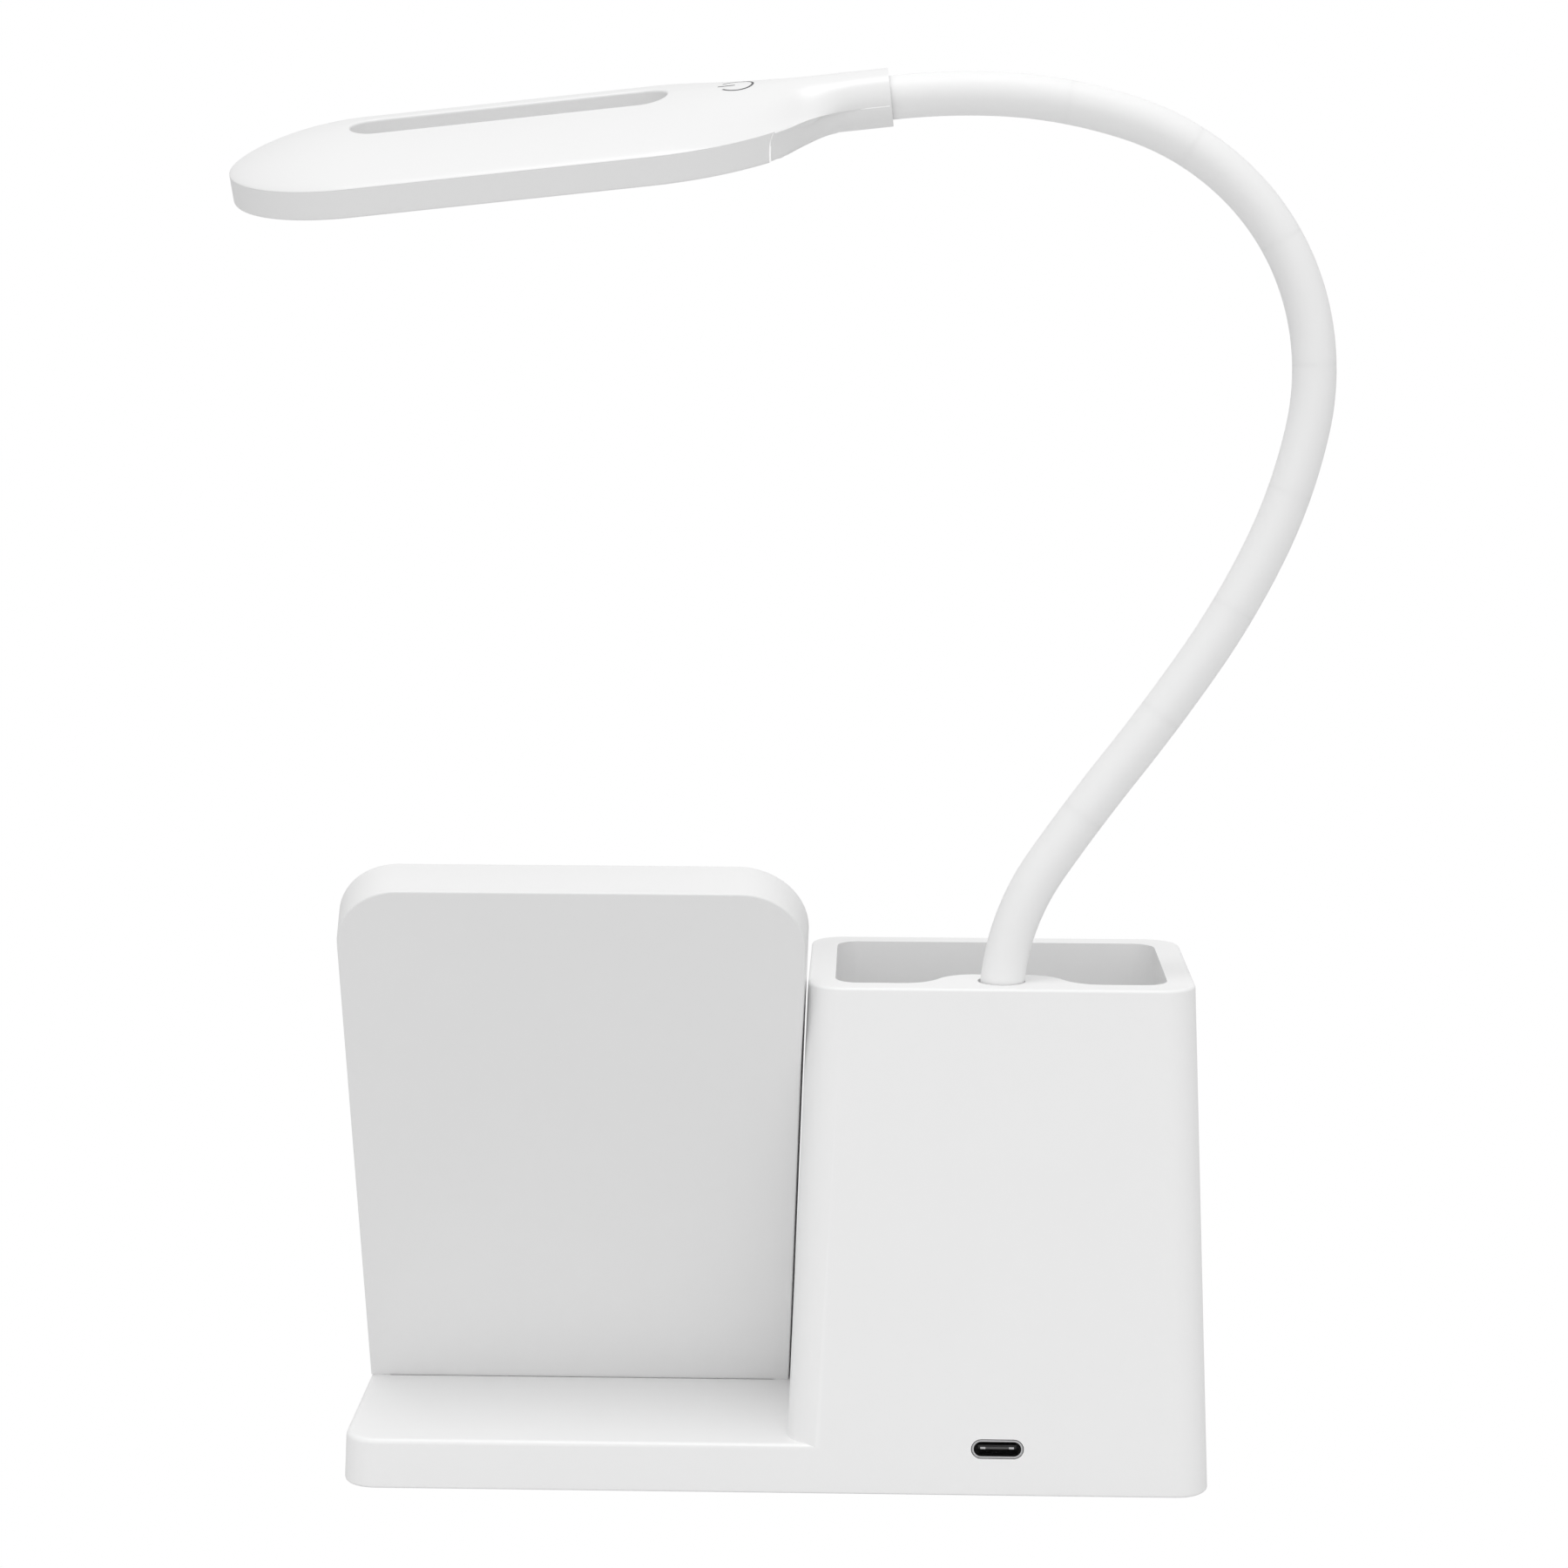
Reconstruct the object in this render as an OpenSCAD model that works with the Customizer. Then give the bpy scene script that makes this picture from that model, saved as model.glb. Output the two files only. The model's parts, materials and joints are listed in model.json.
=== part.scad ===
// Gooseneck desk lamp with a pen cup and a phone stand in its base.
//
// Millimetres, +Z up, +X to the lamp's right and +Y towards its phone side.
// The origin is the centre of the base's footprint, on the table.
// The face at -Y carries the charging port. The phone board leans over that side,
// and a phone stands on the ledge behind it, at +Y.

/* [Base] */
// Width of the base, left to right
base_w = 153; // [140:1:180]
// Depth of the base plate
base_d = 62; // [58:1:80]
// Height of the shelf above the table
plate_h = 9.7; // [9:0.1:14]
// Height of the housing above the table, held by the feet
foot_gap = 0.8; // [0.4:0.1:2]
// Radius of the base's upright corners
corner_r = 6; // [4:0.5:10]
// Lean of the moulded outer walls, in degrees from upright
draft = 2.3; // [0.5:0.1:4]
// Radius of the moulded top edges
edge_r = 1.2; // [0.6:0.1:2]
// Thickness of the housing's thin walls
wall = 2.2; // [1.6:0.1:3]

/* [Pen cup] */
// Width of the box at the table
box_w = 74.7; // [64:0.1:80]
// Depth of the box at the table
box_d = 54; // [48:0.5:57]
// Height of the box's rim above the table
box_h = 90.8; // [76:0.1:120]
// Width of the rim
rim_w = 4.7; // [3.5:0.1:7]
// Radius of the cup's inside corners
cup_r = 4; // [2:0.5:8]
// Height of the cup's floor above the table
cup_floor = 25; // [23:0.5:40]
// Half width of the boss's flat side
boss_flat = 4.4; // [4.2:0.1:6]
// Width of each flank of the boss
boss_flank = 10; // [8:0.5:12]
// Wall of the boss behind the neck
boss_wall = 1.2; // [0.8:0.1:2]

/* [Phone board] */
// Lean of the board from upright, in degrees
board_lean = 23; // [12:1:30]
// Thickness of the board
board_t = 9; // [7:0.1:12]
// Length of the board above the shelf, along its face
board_l = 107.5; // [80:0.5:125]
// Radius of the board's top corners
board_r = 11; // [5:0.5:20]
// Distance from the port side to the board's foot
board_foot = 36.7; // [30:0.1:38]
// Gap between the board and the box
board_gap = 0.6; // [0.3:0.1:2]
// Thickness of the cover on the board's phone side
board_cover_t = 1.8; // [1.2:0.1:2.5]
// Height of the ledge's lip above the shelf
lip_h = 4; // [2:0.5:8]
// Thickness of the ledge's lip
lip_t = 2.6; // [2:0.1:4]

/* [Neck] */
// Radius of the silicone sleeve
neck_r = 3.95; // [3.5:0.05:5]
// Wall of the silicone sleeve
sleeve_wall = 0.9; // [0.6:0.05:1.4]
// Radius of the wire channel in the steel hose
wire_bore_r = 1.6; // [1:0.1:2]
// Length of the first link of the neck
first_len = 26; // [20:0.5:30]
// Length of the neck's middle links
link_len = 22; // [18:0.5:26]
// Length of the last bend, up to the head's collar
last_len = 19; // [12:0.5:24]
// Bend of each link, from the base to the head, in degrees
link_bend = [-34, -3.3, 3.6, 8.7, 13.7, 27.5, 29, 27.1, 14.5, 9.35];
// Gap between the ball and the socket of two links
ball_gap = 0.15; // [0.1:0.01:0.25]
// Depth of the neck's hole in the boss
neck_seat = 26; // [22:1:40]
// Depth in the boss at which the neck starts to bend
neck_sink = 4; // [3:0.5:5]
// Length of the steel ferrule at the root
ferrule_len = 16; // [10:1:20]

/* [Head] */
// Length of the head from the collar's mouth to the tip
head_l = 112.7; // [95:0.1:130]
// Width of the head
head_w = 44.9; // [42:0.1:50]
// Height of the band round the head
band_h = 4.4; // [4.4:0.1:6]
// Rise of the domed top above the band
dome_h = 4.7; // [4.4:0.1:6]
// Width of the slot
slot_w = 9.8; // [7:0.1:11]
// Length of the slot
slot_l = 54; // [40:0.5:56]
// Distance from the slot to the head's tip
slot_tip = 21.3; // [18:0.1:26]
// Outer radius of the collar
collar_r = 5; // [4.9:0.05:5.3]
// Distance from the collar's mouth to the head's full width
shoulder_l = 40.8; // [38:0.1:44]
// Radius of the shoulder's outward curve
shoulder_r = 31.5; // [28:0.5:34]
// Radius of the flare between the shoulder and the collar
flare_r = 16; // [12:0.5:18]
// Distance from the collar's mouth to the seam in the band
seam_x = 20.7; // [17:0.1:26]
// Turn of the head about the collar, in degrees
head_roll = 15.7; // [0:0.1:30]
// Wall of the head's shells
head_wall = 1.6; // [1.2:0.1:2]
// Width of the lips that hold the diffuser
lip_w = 3; // [2:0.1:4]
// Number of lights on each long side of the ring
led_count = 12; // [6:1:16]

/* [Inside the base] */
// Radius of the battery cell
cell_r = 9.2; // [8:0.1:9.4]
// Length of the battery cell
cell_l = 50; // [40:0.5:58]
// Thickness of the steel ballast plate
ballast_t = 3; // [2:0.1:3.4]
// Thickness of the bottom cover
cover_t = 2; // [1.6:0.1:2.4]
// Width of the charging port's shell
port_w = 8.94; // [8:0.01:10]
// Height of the charging port's shell
port_h = 3.26; // [3:0.01:4]
// Height of the port's centre above the table
port_z = 9.25; // [9:0.05:12]
// Depth of the port's shell
port_l = 7.3; // [6:0.1:9]
// Radius of the rubber feet
foot_r = 6; // [4:0.5:8]
// Thickness of the circuit boards
pcb_t = 1.6; // [1:0.1:2]

/* [Clearances] */
// Gap round parts that drop into a recess
fit_gap = 0.2; // [0.1:0.05:0.4]
// Gap round a screw's shank in its hole
screw_gap = 0.05; // [0.02:0.01:0.1]

/* [Hidden] */
$fn = 64;

// How far a cut runs past the face that it opens
over = 1;
// Height of one slice in a hull of slices, and overlap of joined forms
slice_t = 0.3;
// Faces round a corner in a hull
hull_fn = 32;

// Steps in a rounded top edge
edge_steps = [30, 60, 90];

slope = tan(draft);
near_y = -base_d / 2;
left_x = -base_w / 2;
box_left = base_w / 2 - box_w;
box_mid = base_w / 2 - box_w / 2;
box_far = near_y + box_d;

// The cup's opening lies inside the rim of the drafted box
cup_x0 = box_left + slope * box_h + rim_w;
cup_x1 = base_w / 2 - slope * box_h - rim_w;
cup_y0 = near_y + slope * box_h + rim_w;
cup_y1 = box_far - slope * box_h - rim_w;
cup_bottom = cup_floor - wall;

// The neck stands in the boss on the cup's near wall
neck_hole_r = neck_r + 0.2;
neck_x = box_mid;
neck_y = cup_y0 + boss_depth() - boss_wall - neck_hole_r;
core_r = neck_r - sleeve_wall;
neck_last = len(link_bend) - 1;
seat_z = box_h - neck_seat;
ferrule_floor = 2;
// The sleeve grips the hose with this much room
sleeve_gap = 0.03;
// The socket's thin rim is cut back this far from the joint
socket_lip = 1.7;
// Where straight and bent tubes meet, one wall lies this far inside the other
joint_step = 0.05;
joint_lap = 0.5;

function boss_depth() = 2 * neck_hole_r + boss_wall - rim_w + 3.2;

// The bottom cover lies flush in the housing's open underside
cavity_in = wall + 0.3;
box_in = cavity_in + 0.4;
cover_z = foot_gap + cover_t;
foot_sink = 0.5;
screw_r = 1.25;
screw_head_r = 2.6;
post_r = 3.2;

// The board and the tongue that holds it in the shelf
board_w = base_w - box_w - board_gap - 0.3;
board_x = left_x + slope * plate_h + 0.3;
board_y = near_y + board_foot;
board_wall = wall;
board_flare = slope * cos(board_lean);
tongue_in = 3.5;
tongue_l = 4.6;
board_screw_y = board_y + tongue_l * sin(board_lean) + board_t / 2 * cos(board_lean) - 0.8;
board_screw_top = plate_h + 1.2;

// The circuit board lies behind the port, and the port's mouth is flush with the drafted wall
pcb_w = 40;
pcb_d = 17;
pcb_y = near_y + wall + 1.6;
pcb_z = port_z - port_h / 2 - pcb_t;
port_face = near_y + slope * port_z + 0.15;

// The cell lies across the box, behind the circuit board
cell_y = box_far - cavity_in - cell_r - 3.2;
cell_z = cover_z + cell_r + 0.2;
cell_nub = 0.9;
tab_t = 0.2;

// The head's frame has its origin on the neck's axis at the collar's mouth,
// +X towards the tip and +Z up out of the dome.
head_r = head_w / 2;
axis_h = band_h + 0.17;
band_z = band_h - axis_h;
floor_z = -axis_h;
tip_c = head_l - head_r;
crest_r = 5;
slot_r = slot_w / 2;
slot_c1 = head_l - slot_tip - slot_r;
slot_c0 = head_l - slot_tip - slot_l + slot_r;

// The dome's discs from the shoulder back to the collar, each as wide as the outline allows
dome_x = [for (k = [0 : 3]) shoulder_l - 5 * k];

// The collar's flare is an arc that touches the collar and the shoulder's arc
shoulder_cy = head_r - shoulder_r;
flare_cy = collar_r + flare_r;
flare_cx = shoulder_l - sqrt(pow(shoulder_r + flare_r, 2) - pow(flare_cy - shoulder_cy, 2));
touch = [
    shoulder_l + (flare_cx - shoulder_l) * shoulder_r / (shoulder_r + flare_r),
    shoulder_cy + (flare_cy - shoulder_cy) * shoulder_r / (shoulder_r + flare_r)
];

// The sleeve and the thinner end of the hose, inside the collar
sleeve_in = 8;
collar_stop = sleeve_in + 0.6;
collar_gap = 0.1;
core_in = 18;
core_end_r = 2.3;
clamp_x = 14.3;
clamp_len = 4;
clamp_w = 12.4;
clamp_t = 1.2;
clamp_screw_y = 4.4;
clamp_screw_z = -3.4;

// The light ring, from the diffuser up
diffuser_t = 1.2;
diffuser_z = floor_z + 1;
led_board_t = 1;
led_board_z = band_z - 1.1;
led_size = [3.5, 2.8, 0.8];
led_y = (slot_r + head_r) / 2;
post_x = [slot_c0, (slot_c0 + slot_c1) / 2, slot_c1];
sensor_x = 26.4;
sensor_z = band_z + dome_h - head_wall - 0.6;
sensor_t = 0.3;

// --- Shared shapes -----------------------------------------------------------

// A flat rectangle with round corners, from its low corner
module round_rect(w, d, r) {
    translate([r, 0]) square([w - 2 * r, d]);
    translate([0, r]) square([w, d - 2 * r]);
    for (x = [r, w - r], y = [r, d - r]) translate([x, y]) circle(r);
}

// A flat slot shape between two centres on the X axis
module stadium(x0, x1, r) {
    translate([x0, -r]) square([x1 - x0, 2 * r]);
    for (x = [x0, x1]) translate([x, 0]) circle(r);
}

// One slice of a drafted block at height z, drawn in by extra. Its body lies to the given side
module block_slice(w, d, z, extra, side) {
    inset = slope * z + extra;
    r = corner_r - extra;
    for (x = [inset + r, w - inset - r], y = [inset + r, d - inset - r])
        translate([x, y, z]) mirror([0, 0, side > 0 ? 0 : 1])
            cylinder(r1 = r, r2 = r / 2, h = slice_t, $fn = hull_fn);
}

// A moulded block whose walls lean in and whose top edge is round
module drafted_block(w, d, z0, z1) {
    hull() {
        block_slice(w, d, z0, 0, 1);
        block_slice(w, d, z1 - edge_r, 0, -1);
        for (a = edge_steps)
            block_slice(w, d, z1 - edge_r + edge_r * sin(a), edge_r * (1 - cos(a)), -1);
    }
}

// A countersunk screw that points up, from the face of its head
module screw(length) {
    cylinder(r1 = screw_head_r, r2 = screw_r, h = 1.3);
    cylinder(r = screw_r, h = length);
}

// The hole that a screw leaves in a cover of thickness t
module screw_hole(t) {
    cylinder(r1 = screw_head_r + fit_gap, r2 = screw_r + fit_gap, h = 1.4);
    translate([0, 0, -over]) cylinder(r = screw_r + fit_gap, h = t + 2 * over);
}

// A round wire along a list of points
module wire(points, r) {
    for (i = [0 : len(points) - 2]) {
        run = points[i + 1] - points[i];
        translate(points[i])
            rotate([0, acos(run.z / norm(run)), atan2(run.y, run.x)]) {
                cylinder(r = r, h = norm(run), $fn = 16);
                if (i > 0) sphere(r * 1.05, $fn = 16);
            }
    }
}

// --- Base --------------------------------------------------------------------

foot_spots = [for (x = [-1, 1], y = [-1, 1]) [x * (base_w / 2 - 16), y * (base_d / 2 - 13)]];

// Each screw post of the housing, with the height of the floor it hangs from
post_spots = [
    [left_x + 7.5, near_y + 7, plate_h - wall], [left_x + 7.5, -near_y - 7, plate_h - wall],
    [box_left - 4, near_y + 7, plate_h - wall], [box_left - 4, -near_y - 6.5, plate_h - wall],
    [base_w / 2 - 7.5, near_y + 7, cup_bottom], [base_w / 2 - 7.5, -near_y - 6.5, plate_h - wall]
];
post_screw_l = 5;
board_screw_x = [24, board_w - 15.4];

// The hollow under the shelf and under the cup's floor
module housing_cavity() {
    translate([left_x + cavity_in, near_y + cavity_in, foot_gap - over])
        linear_extrude(plate_h - wall - foot_gap + over)
            round_rect(base_w - 2 * cavity_in, base_d - 2 * cavity_in, corner_r - wall);
    translate([box_left + box_in, near_y + box_in, foot_gap])
        linear_extrude(cup_bottom - foot_gap)
            round_rect(box_w - 2 * box_in, box_d - 2 * box_in, corner_r - wall);
}

// The bell-shaped boss in the cup's near wall, seen from above
module boss_outline() {
    depth = boss_depth() + over;
    half = boss_depth() / 2;
    run = boss_flank / 2;
    r = (run * run + half * half) / (2 * half);
    translate([-boss_flat, 0]) square([2 * boss_flat, depth]);
    translate([-boss_flat - boss_flank, 0]) square([2 * (boss_flat + boss_flank), over]);
    translate([-boss_flat - run, 0]) square([2 * (boss_flat + run), half + over]);
    for (s = [0, 1]) mirror([s, 0]) {
        intersection() {
            translate([boss_flat, depth - r]) circle(r);
            translate([boss_flat, half]) square([run, depth]);
        }
        translate([boss_flat + run, over / 2]) difference() {
            square([run, half + over / 2]);
            translate([run, r + over / 2]) circle(r);
        }
    }
}

module cup_pocket() {
    difference() {
        translate([cup_x0, cup_y0, cup_floor])
            linear_extrude(box_h)
                round_rect(cup_x1 - cup_x0, cup_y1 - cup_y0, cup_r);
        translate([neck_x, cup_y0 - over, 0])
            linear_extrude(box_h + over) boss_outline();
    }
}

// The holes for the neck and for its wires, down through the boss
module neck_holes() {
    translate([neck_x, neck_y, seat_z]) cylinder(r = neck_hole_r, h = neck_seat + over);
    translate([neck_x, neck_y, box_h - 1.5])
        cylinder(r1 = neck_hole_r - 0.4, r2 = neck_hole_r + 0.8, h = 3);
    translate([neck_x, neck_y, cup_bottom - over])
        cylinder(r = wire_bore_r + 0.4, h = seat_z - cup_bottom + 2 * over);
}

// The place of the board: its foot on the shelf, leaning over the port side
module at_board() {
    translate([board_x, board_y, plate_h]) rotate([board_lean, 0, 0]) children();
}

// The board's face, drawn in by inset, from low to its top
module board_outline(inset, low) {
    r = board_r - inset;
    left = inset;
    top = board_l - inset;
    y1 = board_l - board_r;
    right_low = board_w + board_flare * low - inset;
    right_top = board_w + board_flare * y1 - inset;
    right_c = right_top - r;
    polygon([
        [left, low], [right_low, low], [right_top, y1],
        [right_c, y1], [right_c, top], [left + r, top], [left + r, y1], [left, y1]
    ]);
    translate([left + r, y1]) circle(r);
    translate([right_c, y1]) circle(r);
}

// A panel cut to the board's outline, from y0 to y1 through its thickness
module board_slab(inset, low, y0, y1) {
    translate([0, y1, 0]) rotate([90, 0, 0]) linear_extrude(y1 - y0) board_outline(inset, low);
}

// The tongue under the board's foot, grown by the given gap
module board_tongue(gap, drop) {
    at_board() translate([tongue_in - gap, -gap, -drop])
        cube([board_w - 2 * (tongue_in - gap), board_t + 2 * gap, drop + wall]);
}

module port_outline(grow) {
    stadium(-(port_w - port_h) / 2, (port_w - port_h) / 2, port_h / 2 + grow);
}

// The lip that keeps a phone on the ledge
module ledge_lip() {
    r = lip_t / 2;
    x0 = left_x + corner_r + 4;
    translate([x0, base_d / 2 - slope * plate_h - edge_r - r, plate_h - edge_r])
        rotate([90, 0, 90]) linear_extrude(box_left - 4 - x0) {
            translate([-r, 0]) square([lip_t, lip_h + edge_r - r]);
            translate([0, lip_h + edge_r - r]) circle(r);
        }
}

module base_housing() {
    color("white") difference() {
        union() {
            difference() {
                union() {
                    translate([left_x, near_y, 0])
                        drafted_block(base_w, base_d, foot_gap, plate_h);
                    translate([box_left, near_y, 0])
                        drafted_block(box_w, box_d, plate_h - edge_r, box_h);
                }
                housing_cavity();
            }
            ledge_lip();
            for (p = post_spots)
                translate([p.x, p.y, cover_z]) cylinder(r = post_r, h = p.z - cover_z + wall / 2);
        }
        cup_pocket();
        neck_holes();
        for (p = post_spots)
            translate([p.x, p.y, cover_z - over]) cylinder(r = screw_r + screw_gap, h = post_screw_l + over - 0.6);
        board_tongue(fit_gap, plate_h - foot_gap);
        translate([box_mid, near_y + wall + 2, port_z])
            rotate([90, 0, 0]) linear_extrude(wall + 2 + over) port_outline(fit_gap / 2);
    }
}

module phone_board() {
    rib_t = 1.4;
    rib_h = board_t - board_cover_t - board_wall;
    rib_in = board_wall - slice_t;
    color("whitesmoke") difference() {
        union() {
            intersection() {
                at_board() difference() {
                    board_slab(0, -board_t, 0, board_t);
                    board_slab(board_wall, board_wall, board_wall, board_t + over);
                }
                translate([left_x, -board_l, plate_h]) cube([base_w, 2 * board_l, board_l + board_t]);
            }
            board_tongue(0, tongue_l);
            at_board() {
                for (x = [board_w / 4 : board_w / 4 : board_w * 0.8])
                    translate([x - rib_t / 2, rib_in, rib_in])
                        cube([rib_t, rib_h + slice_t, board_l - 2 * rib_in]);
                for (z = [board_l / 4 : board_l / 4 : board_l * 0.8])
                    translate([rib_in, rib_in, z - rib_t / 2])
                        cube([board_w + board_flare * z - 2 * rib_in, rib_h + slice_t, rib_t]);
            }
        }
        for (x = board_screw_x)
            translate([board_x + x, board_screw_y, 0]) cylinder(r = screw_r + screw_gap, h = board_screw_top + 0.3);
    }
}

module board_cover() {
    color("whitesmoke") at_board()
        board_slab(board_wall + fit_gap, board_wall + fit_gap, board_t - board_cover_t, board_t);
}

module bottom_cover() {
    inset = cavity_in + fit_gap;
    color("white") difference() {
        union() {
            translate([left_x + inset, near_y + inset, foot_gap])
                linear_extrude(cover_t)
                    round_rect(base_w - 2 * inset, base_d - 2 * inset, corner_r - wall - fit_gap);
            cell_cradle();
            for (x = [-1, 1], y = [3, pcb_d - 3])
                translate([box_mid + x * (pcb_w / 2 - 3), pcb_y + y, foot_gap])
                    cylinder(r = 2.2, h = pcb_z - foot_gap);
            for (x = board_screw_x)
                translate([board_x + x, board_screw_y, foot_gap]) cylinder(r = post_r, h = 4.2);
        }
        for (p = foot_spots)
            translate([p.x, p.y, foot_gap - over]) cylinder(r = foot_r + fit_gap, h = over + foot_sink);
        for (p = post_spots) translate([p.x, p.y, foot_gap]) screw_hole(cover_t);
        for (x = board_screw_x)
            translate([board_x + x, board_screw_y, foot_gap]) screw_hole(4.2);
    }
}

// Two saddles that hold the battery cell
module cell_cradle() {
    for (x = [-1, 1]) difference() {
        translate([box_mid + x * cell_l / 4 - 2, cell_y - cell_r - 1.6, cover_z - slice_t])
            cube([4, 2 * cell_r + 3.2, cell_r - 1]);
        translate([box_mid - cell_l, cell_y, cell_z])
            rotate([0, 90, 0]) cylinder(r = cell_r + 0.05, h = 2 * cell_l);
    }
}

module battery_cell() {
    color("steelblue") translate([box_mid - cell_l / 2, cell_y, cell_z]) rotate([0, 90, 0]) {
        cylinder(r = cell_r, h = cell_l);
        cylinder(r = cell_r * 0.45, h = cell_l + cell_nub);
    }
}

module battery_tabs() {
    color("silver") for (x = [-cell_l / 2 - tab_t, cell_l / 2 + cell_nub])
        translate([box_mid + x, cell_y - 3, cell_z - 3]) cube([tab_t, 6, 6]);
}

module ballast_plate() {
    x0 = left_x + 7.5 + post_r + 5.3;
    x1 = box_left - 4 - post_r - 4.6;
    color("gray") translate([x0, near_y + cavity_in + 2, cover_z])
        linear_extrude(ballast_t) round_rect(x1 - x0, board_foot - 8.7, 3);
}

module rubber_feet() {
    color("dimgray") for (p = foot_spots)
        translate([p.x, p.y, 0]) rotate_extrude()
            polygon([
                [0, 0], [foot_r - 0.4, 0], [foot_r, 0.4],
                [foot_r, foot_gap + foot_sink], [0, foot_gap + foot_sink]
            ]);
}

module bottom_screws() {
    color("silver") for (p = post_spots)
        translate([p.x, p.y, foot_gap + 0.1]) screw(cover_z + post_screw_l - 0.8 - foot_gap - 0.1);
}

module board_screws() {
    color("silver") for (x = board_screw_x)
        translate([board_x + x, board_screw_y, foot_gap + 0.1]) screw(board_screw_top - foot_gap - 0.1);
}

module main_board() {
    color("seagreen") translate([box_mid - pcb_w / 2, pcb_y, pcb_z])
        linear_extrude(pcb_t) round_rect(pcb_w, pcb_d, 1);
}

module board_chips() {
    color("dimgray") translate([box_mid, pcb_y, pcb_z + pcb_t]) {
        translate([-14, 9, 0]) cube([5, 4, 1.6]);
        translate([-5, 11, 0]) cube([3, 3, 1.2]);
        translate([8, 9, 0]) cube([6, 6, 3]);
        translate([-17, 2.5, 0]) cube([4.5, 4.5, 5]);
        translate([14, 4, 0]) cylinder(r = 2, h = 6);
    }
}

module port_shell() {
    color("silver") translate([box_mid, port_face + port_l, port_z]) rotate([90, 0, 0]) difference() {
        linear_extrude(port_l) port_outline(0);
        translate([0, 0, 0.4]) linear_extrude(port_l) port_outline(-0.3);
    }
}

module port_tongue() {
    tongue_w = 6.69;
    tongue_t = 0.7;
    color("black") translate([box_mid, port_face, port_z]) {
        translate([-tongue_w / 2, 1.2, -tongue_t / 2]) cube([tongue_w, port_l - 3.6, tongue_t]);
        translate([0, port_l - 0.4, 0]) rotate([90, 0, 0]) linear_extrude(2) port_outline(-0.3);
    }
}

module base_leads() {
    r = 0.6;
    top = pcb_z + pcb_t;
    color("firebrick") {
        for (s = [-1, 1]) wire([
            [neck_x + s * 0.7, pcb_y + 9, top + r], [neck_x + s * 0.7, pcb_y + 6, top + 3],
            [neck_x + s * 0.7, neck_y, cup_bottom - 3], [neck_x + s * 0.7, neck_y, seat_z + 2]
        ], r);
        for (s = [-1, 1]) {
            x = s > 0 ? cell_l / 2 + cell_nub + tab_t + r : -cell_l / 2 - tab_t - r;
            wire([
                [box_mid + x, cell_y - 1, cell_z + 1], [box_mid + x, cell_y - cell_r - 2, cell_z - 2],
                [box_mid + s * 16, pcb_y + pcb_d - 2, top + r]
            ], r);
        }
    }
}

// --- Neck --------------------------------------------------------------------
// The neck lies in one upright plane, as a chain of arcs that meet smoothly.

function link_length(i) = i == 0 ? first_len : i == neck_last ? last_len : link_len;

// Direction at the start of link i, in degrees from +X towards +Z
function link_dir(i) = i == 0 ? 90 : link_dir(i - 1) + link_bend[i - 1];

// Radius of link i's arc, with its sign
function link_rad(i) = link_length(i) / (link_bend[i] * PI / 180);

// The joint at the start of link i. Link 0 starts inside the boss
function joint(i) = i == 0
    ? [neck_x, neck_y, box_h - neck_sink]
    : joint(i - 1) + link_rad(i - 1) * [
        sin(link_dir(i)) - sin(link_dir(i - 1)), 0, cos(link_dir(i - 1)) - cos(link_dir(i))];

// Children drawn along +Z from the origin are laid along the neck at the start of link i
module at_link(i) {
    translate(joint(i)) rotate([0, 90 - link_dir(i), 0]) children();
}

// A tube along link i's arc
module arc_tube(i, r, bore) {
    rad = abs(link_rad(i));
    at_link(i) rotate([90, 0, link_bend[i] > 0 ? 0 : 180])
        translate([-rad, 0, 0])
            rotate_extrude(angle = abs(link_bend[i]))
                translate([rad, 0]) difference() {
                    circle(r);
                    circle(bore);
                }
}

// A straight tube that meets the arc a little inside its walls
module straight_tube(r, bore, z0, z1) {
    translate([0, 0, z0]) difference() {
        cylinder(r = r - joint_step, h = z1 - z0);
        translate([0, 0, -over]) cylinder(r = bore + joint_step, h = z1 - z0 + 2 * over);
    }
}

// The ball at the end of link i, as wide as its tube
module link_ball(i, r, bore) {
    at_link(i + 1) intersection() {
        sphere(neck_r - joint_step);
        straight_tube(r, bore, -joint_lap, neck_r);
    }
}

// The socket at the start of link i, with the rim of the socket cut back
module link_socket(i) {
    at_link(i) {
        sphere(neck_r + ball_gap);
        translate([0, 0, -neck_r]) cylinder(r = neck_r + over, h = neck_r + socket_lip);
    }
}

module neck_core(i) {
    color("silver") difference() {
        union() {
            arc_tube(i, core_r, wire_bore_r);
            if (i < neck_last) link_ball(i, core_r, wire_bore_r);
            if (i == 0)
                at_link(0) straight_tube(core_r, wire_bore_r, neck_sink - neck_seat + ferrule_floor, joint_lap);
            if (i == neck_last) at_link(i + 1) {
                straight_tube(core_r, wire_bore_r, -joint_lap, sleeve_in);
                straight_tube(core_end_r, wire_bore_r, sleeve_in - joint_lap, core_in);
            }
        }
        if (i > 0) link_socket(i);
    }
}

module neck_sleeve(i) {
    bore = core_r + sleeve_gap;
    color("white") difference() {
        union() {
            arc_tube(i, neck_r, bore);
            if (i < neck_last) link_ball(i, neck_r, bore);
            if (i == 0)
                at_link(0) straight_tube(neck_r, bore, neck_sink - neck_seat + ferrule_len, joint_lap);
            if (i == neck_last) at_link(i + 1) straight_tube(neck_r, bore, -joint_lap, sleeve_in);
        }
        if (i > 0) link_socket(i);
    }
}

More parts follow.
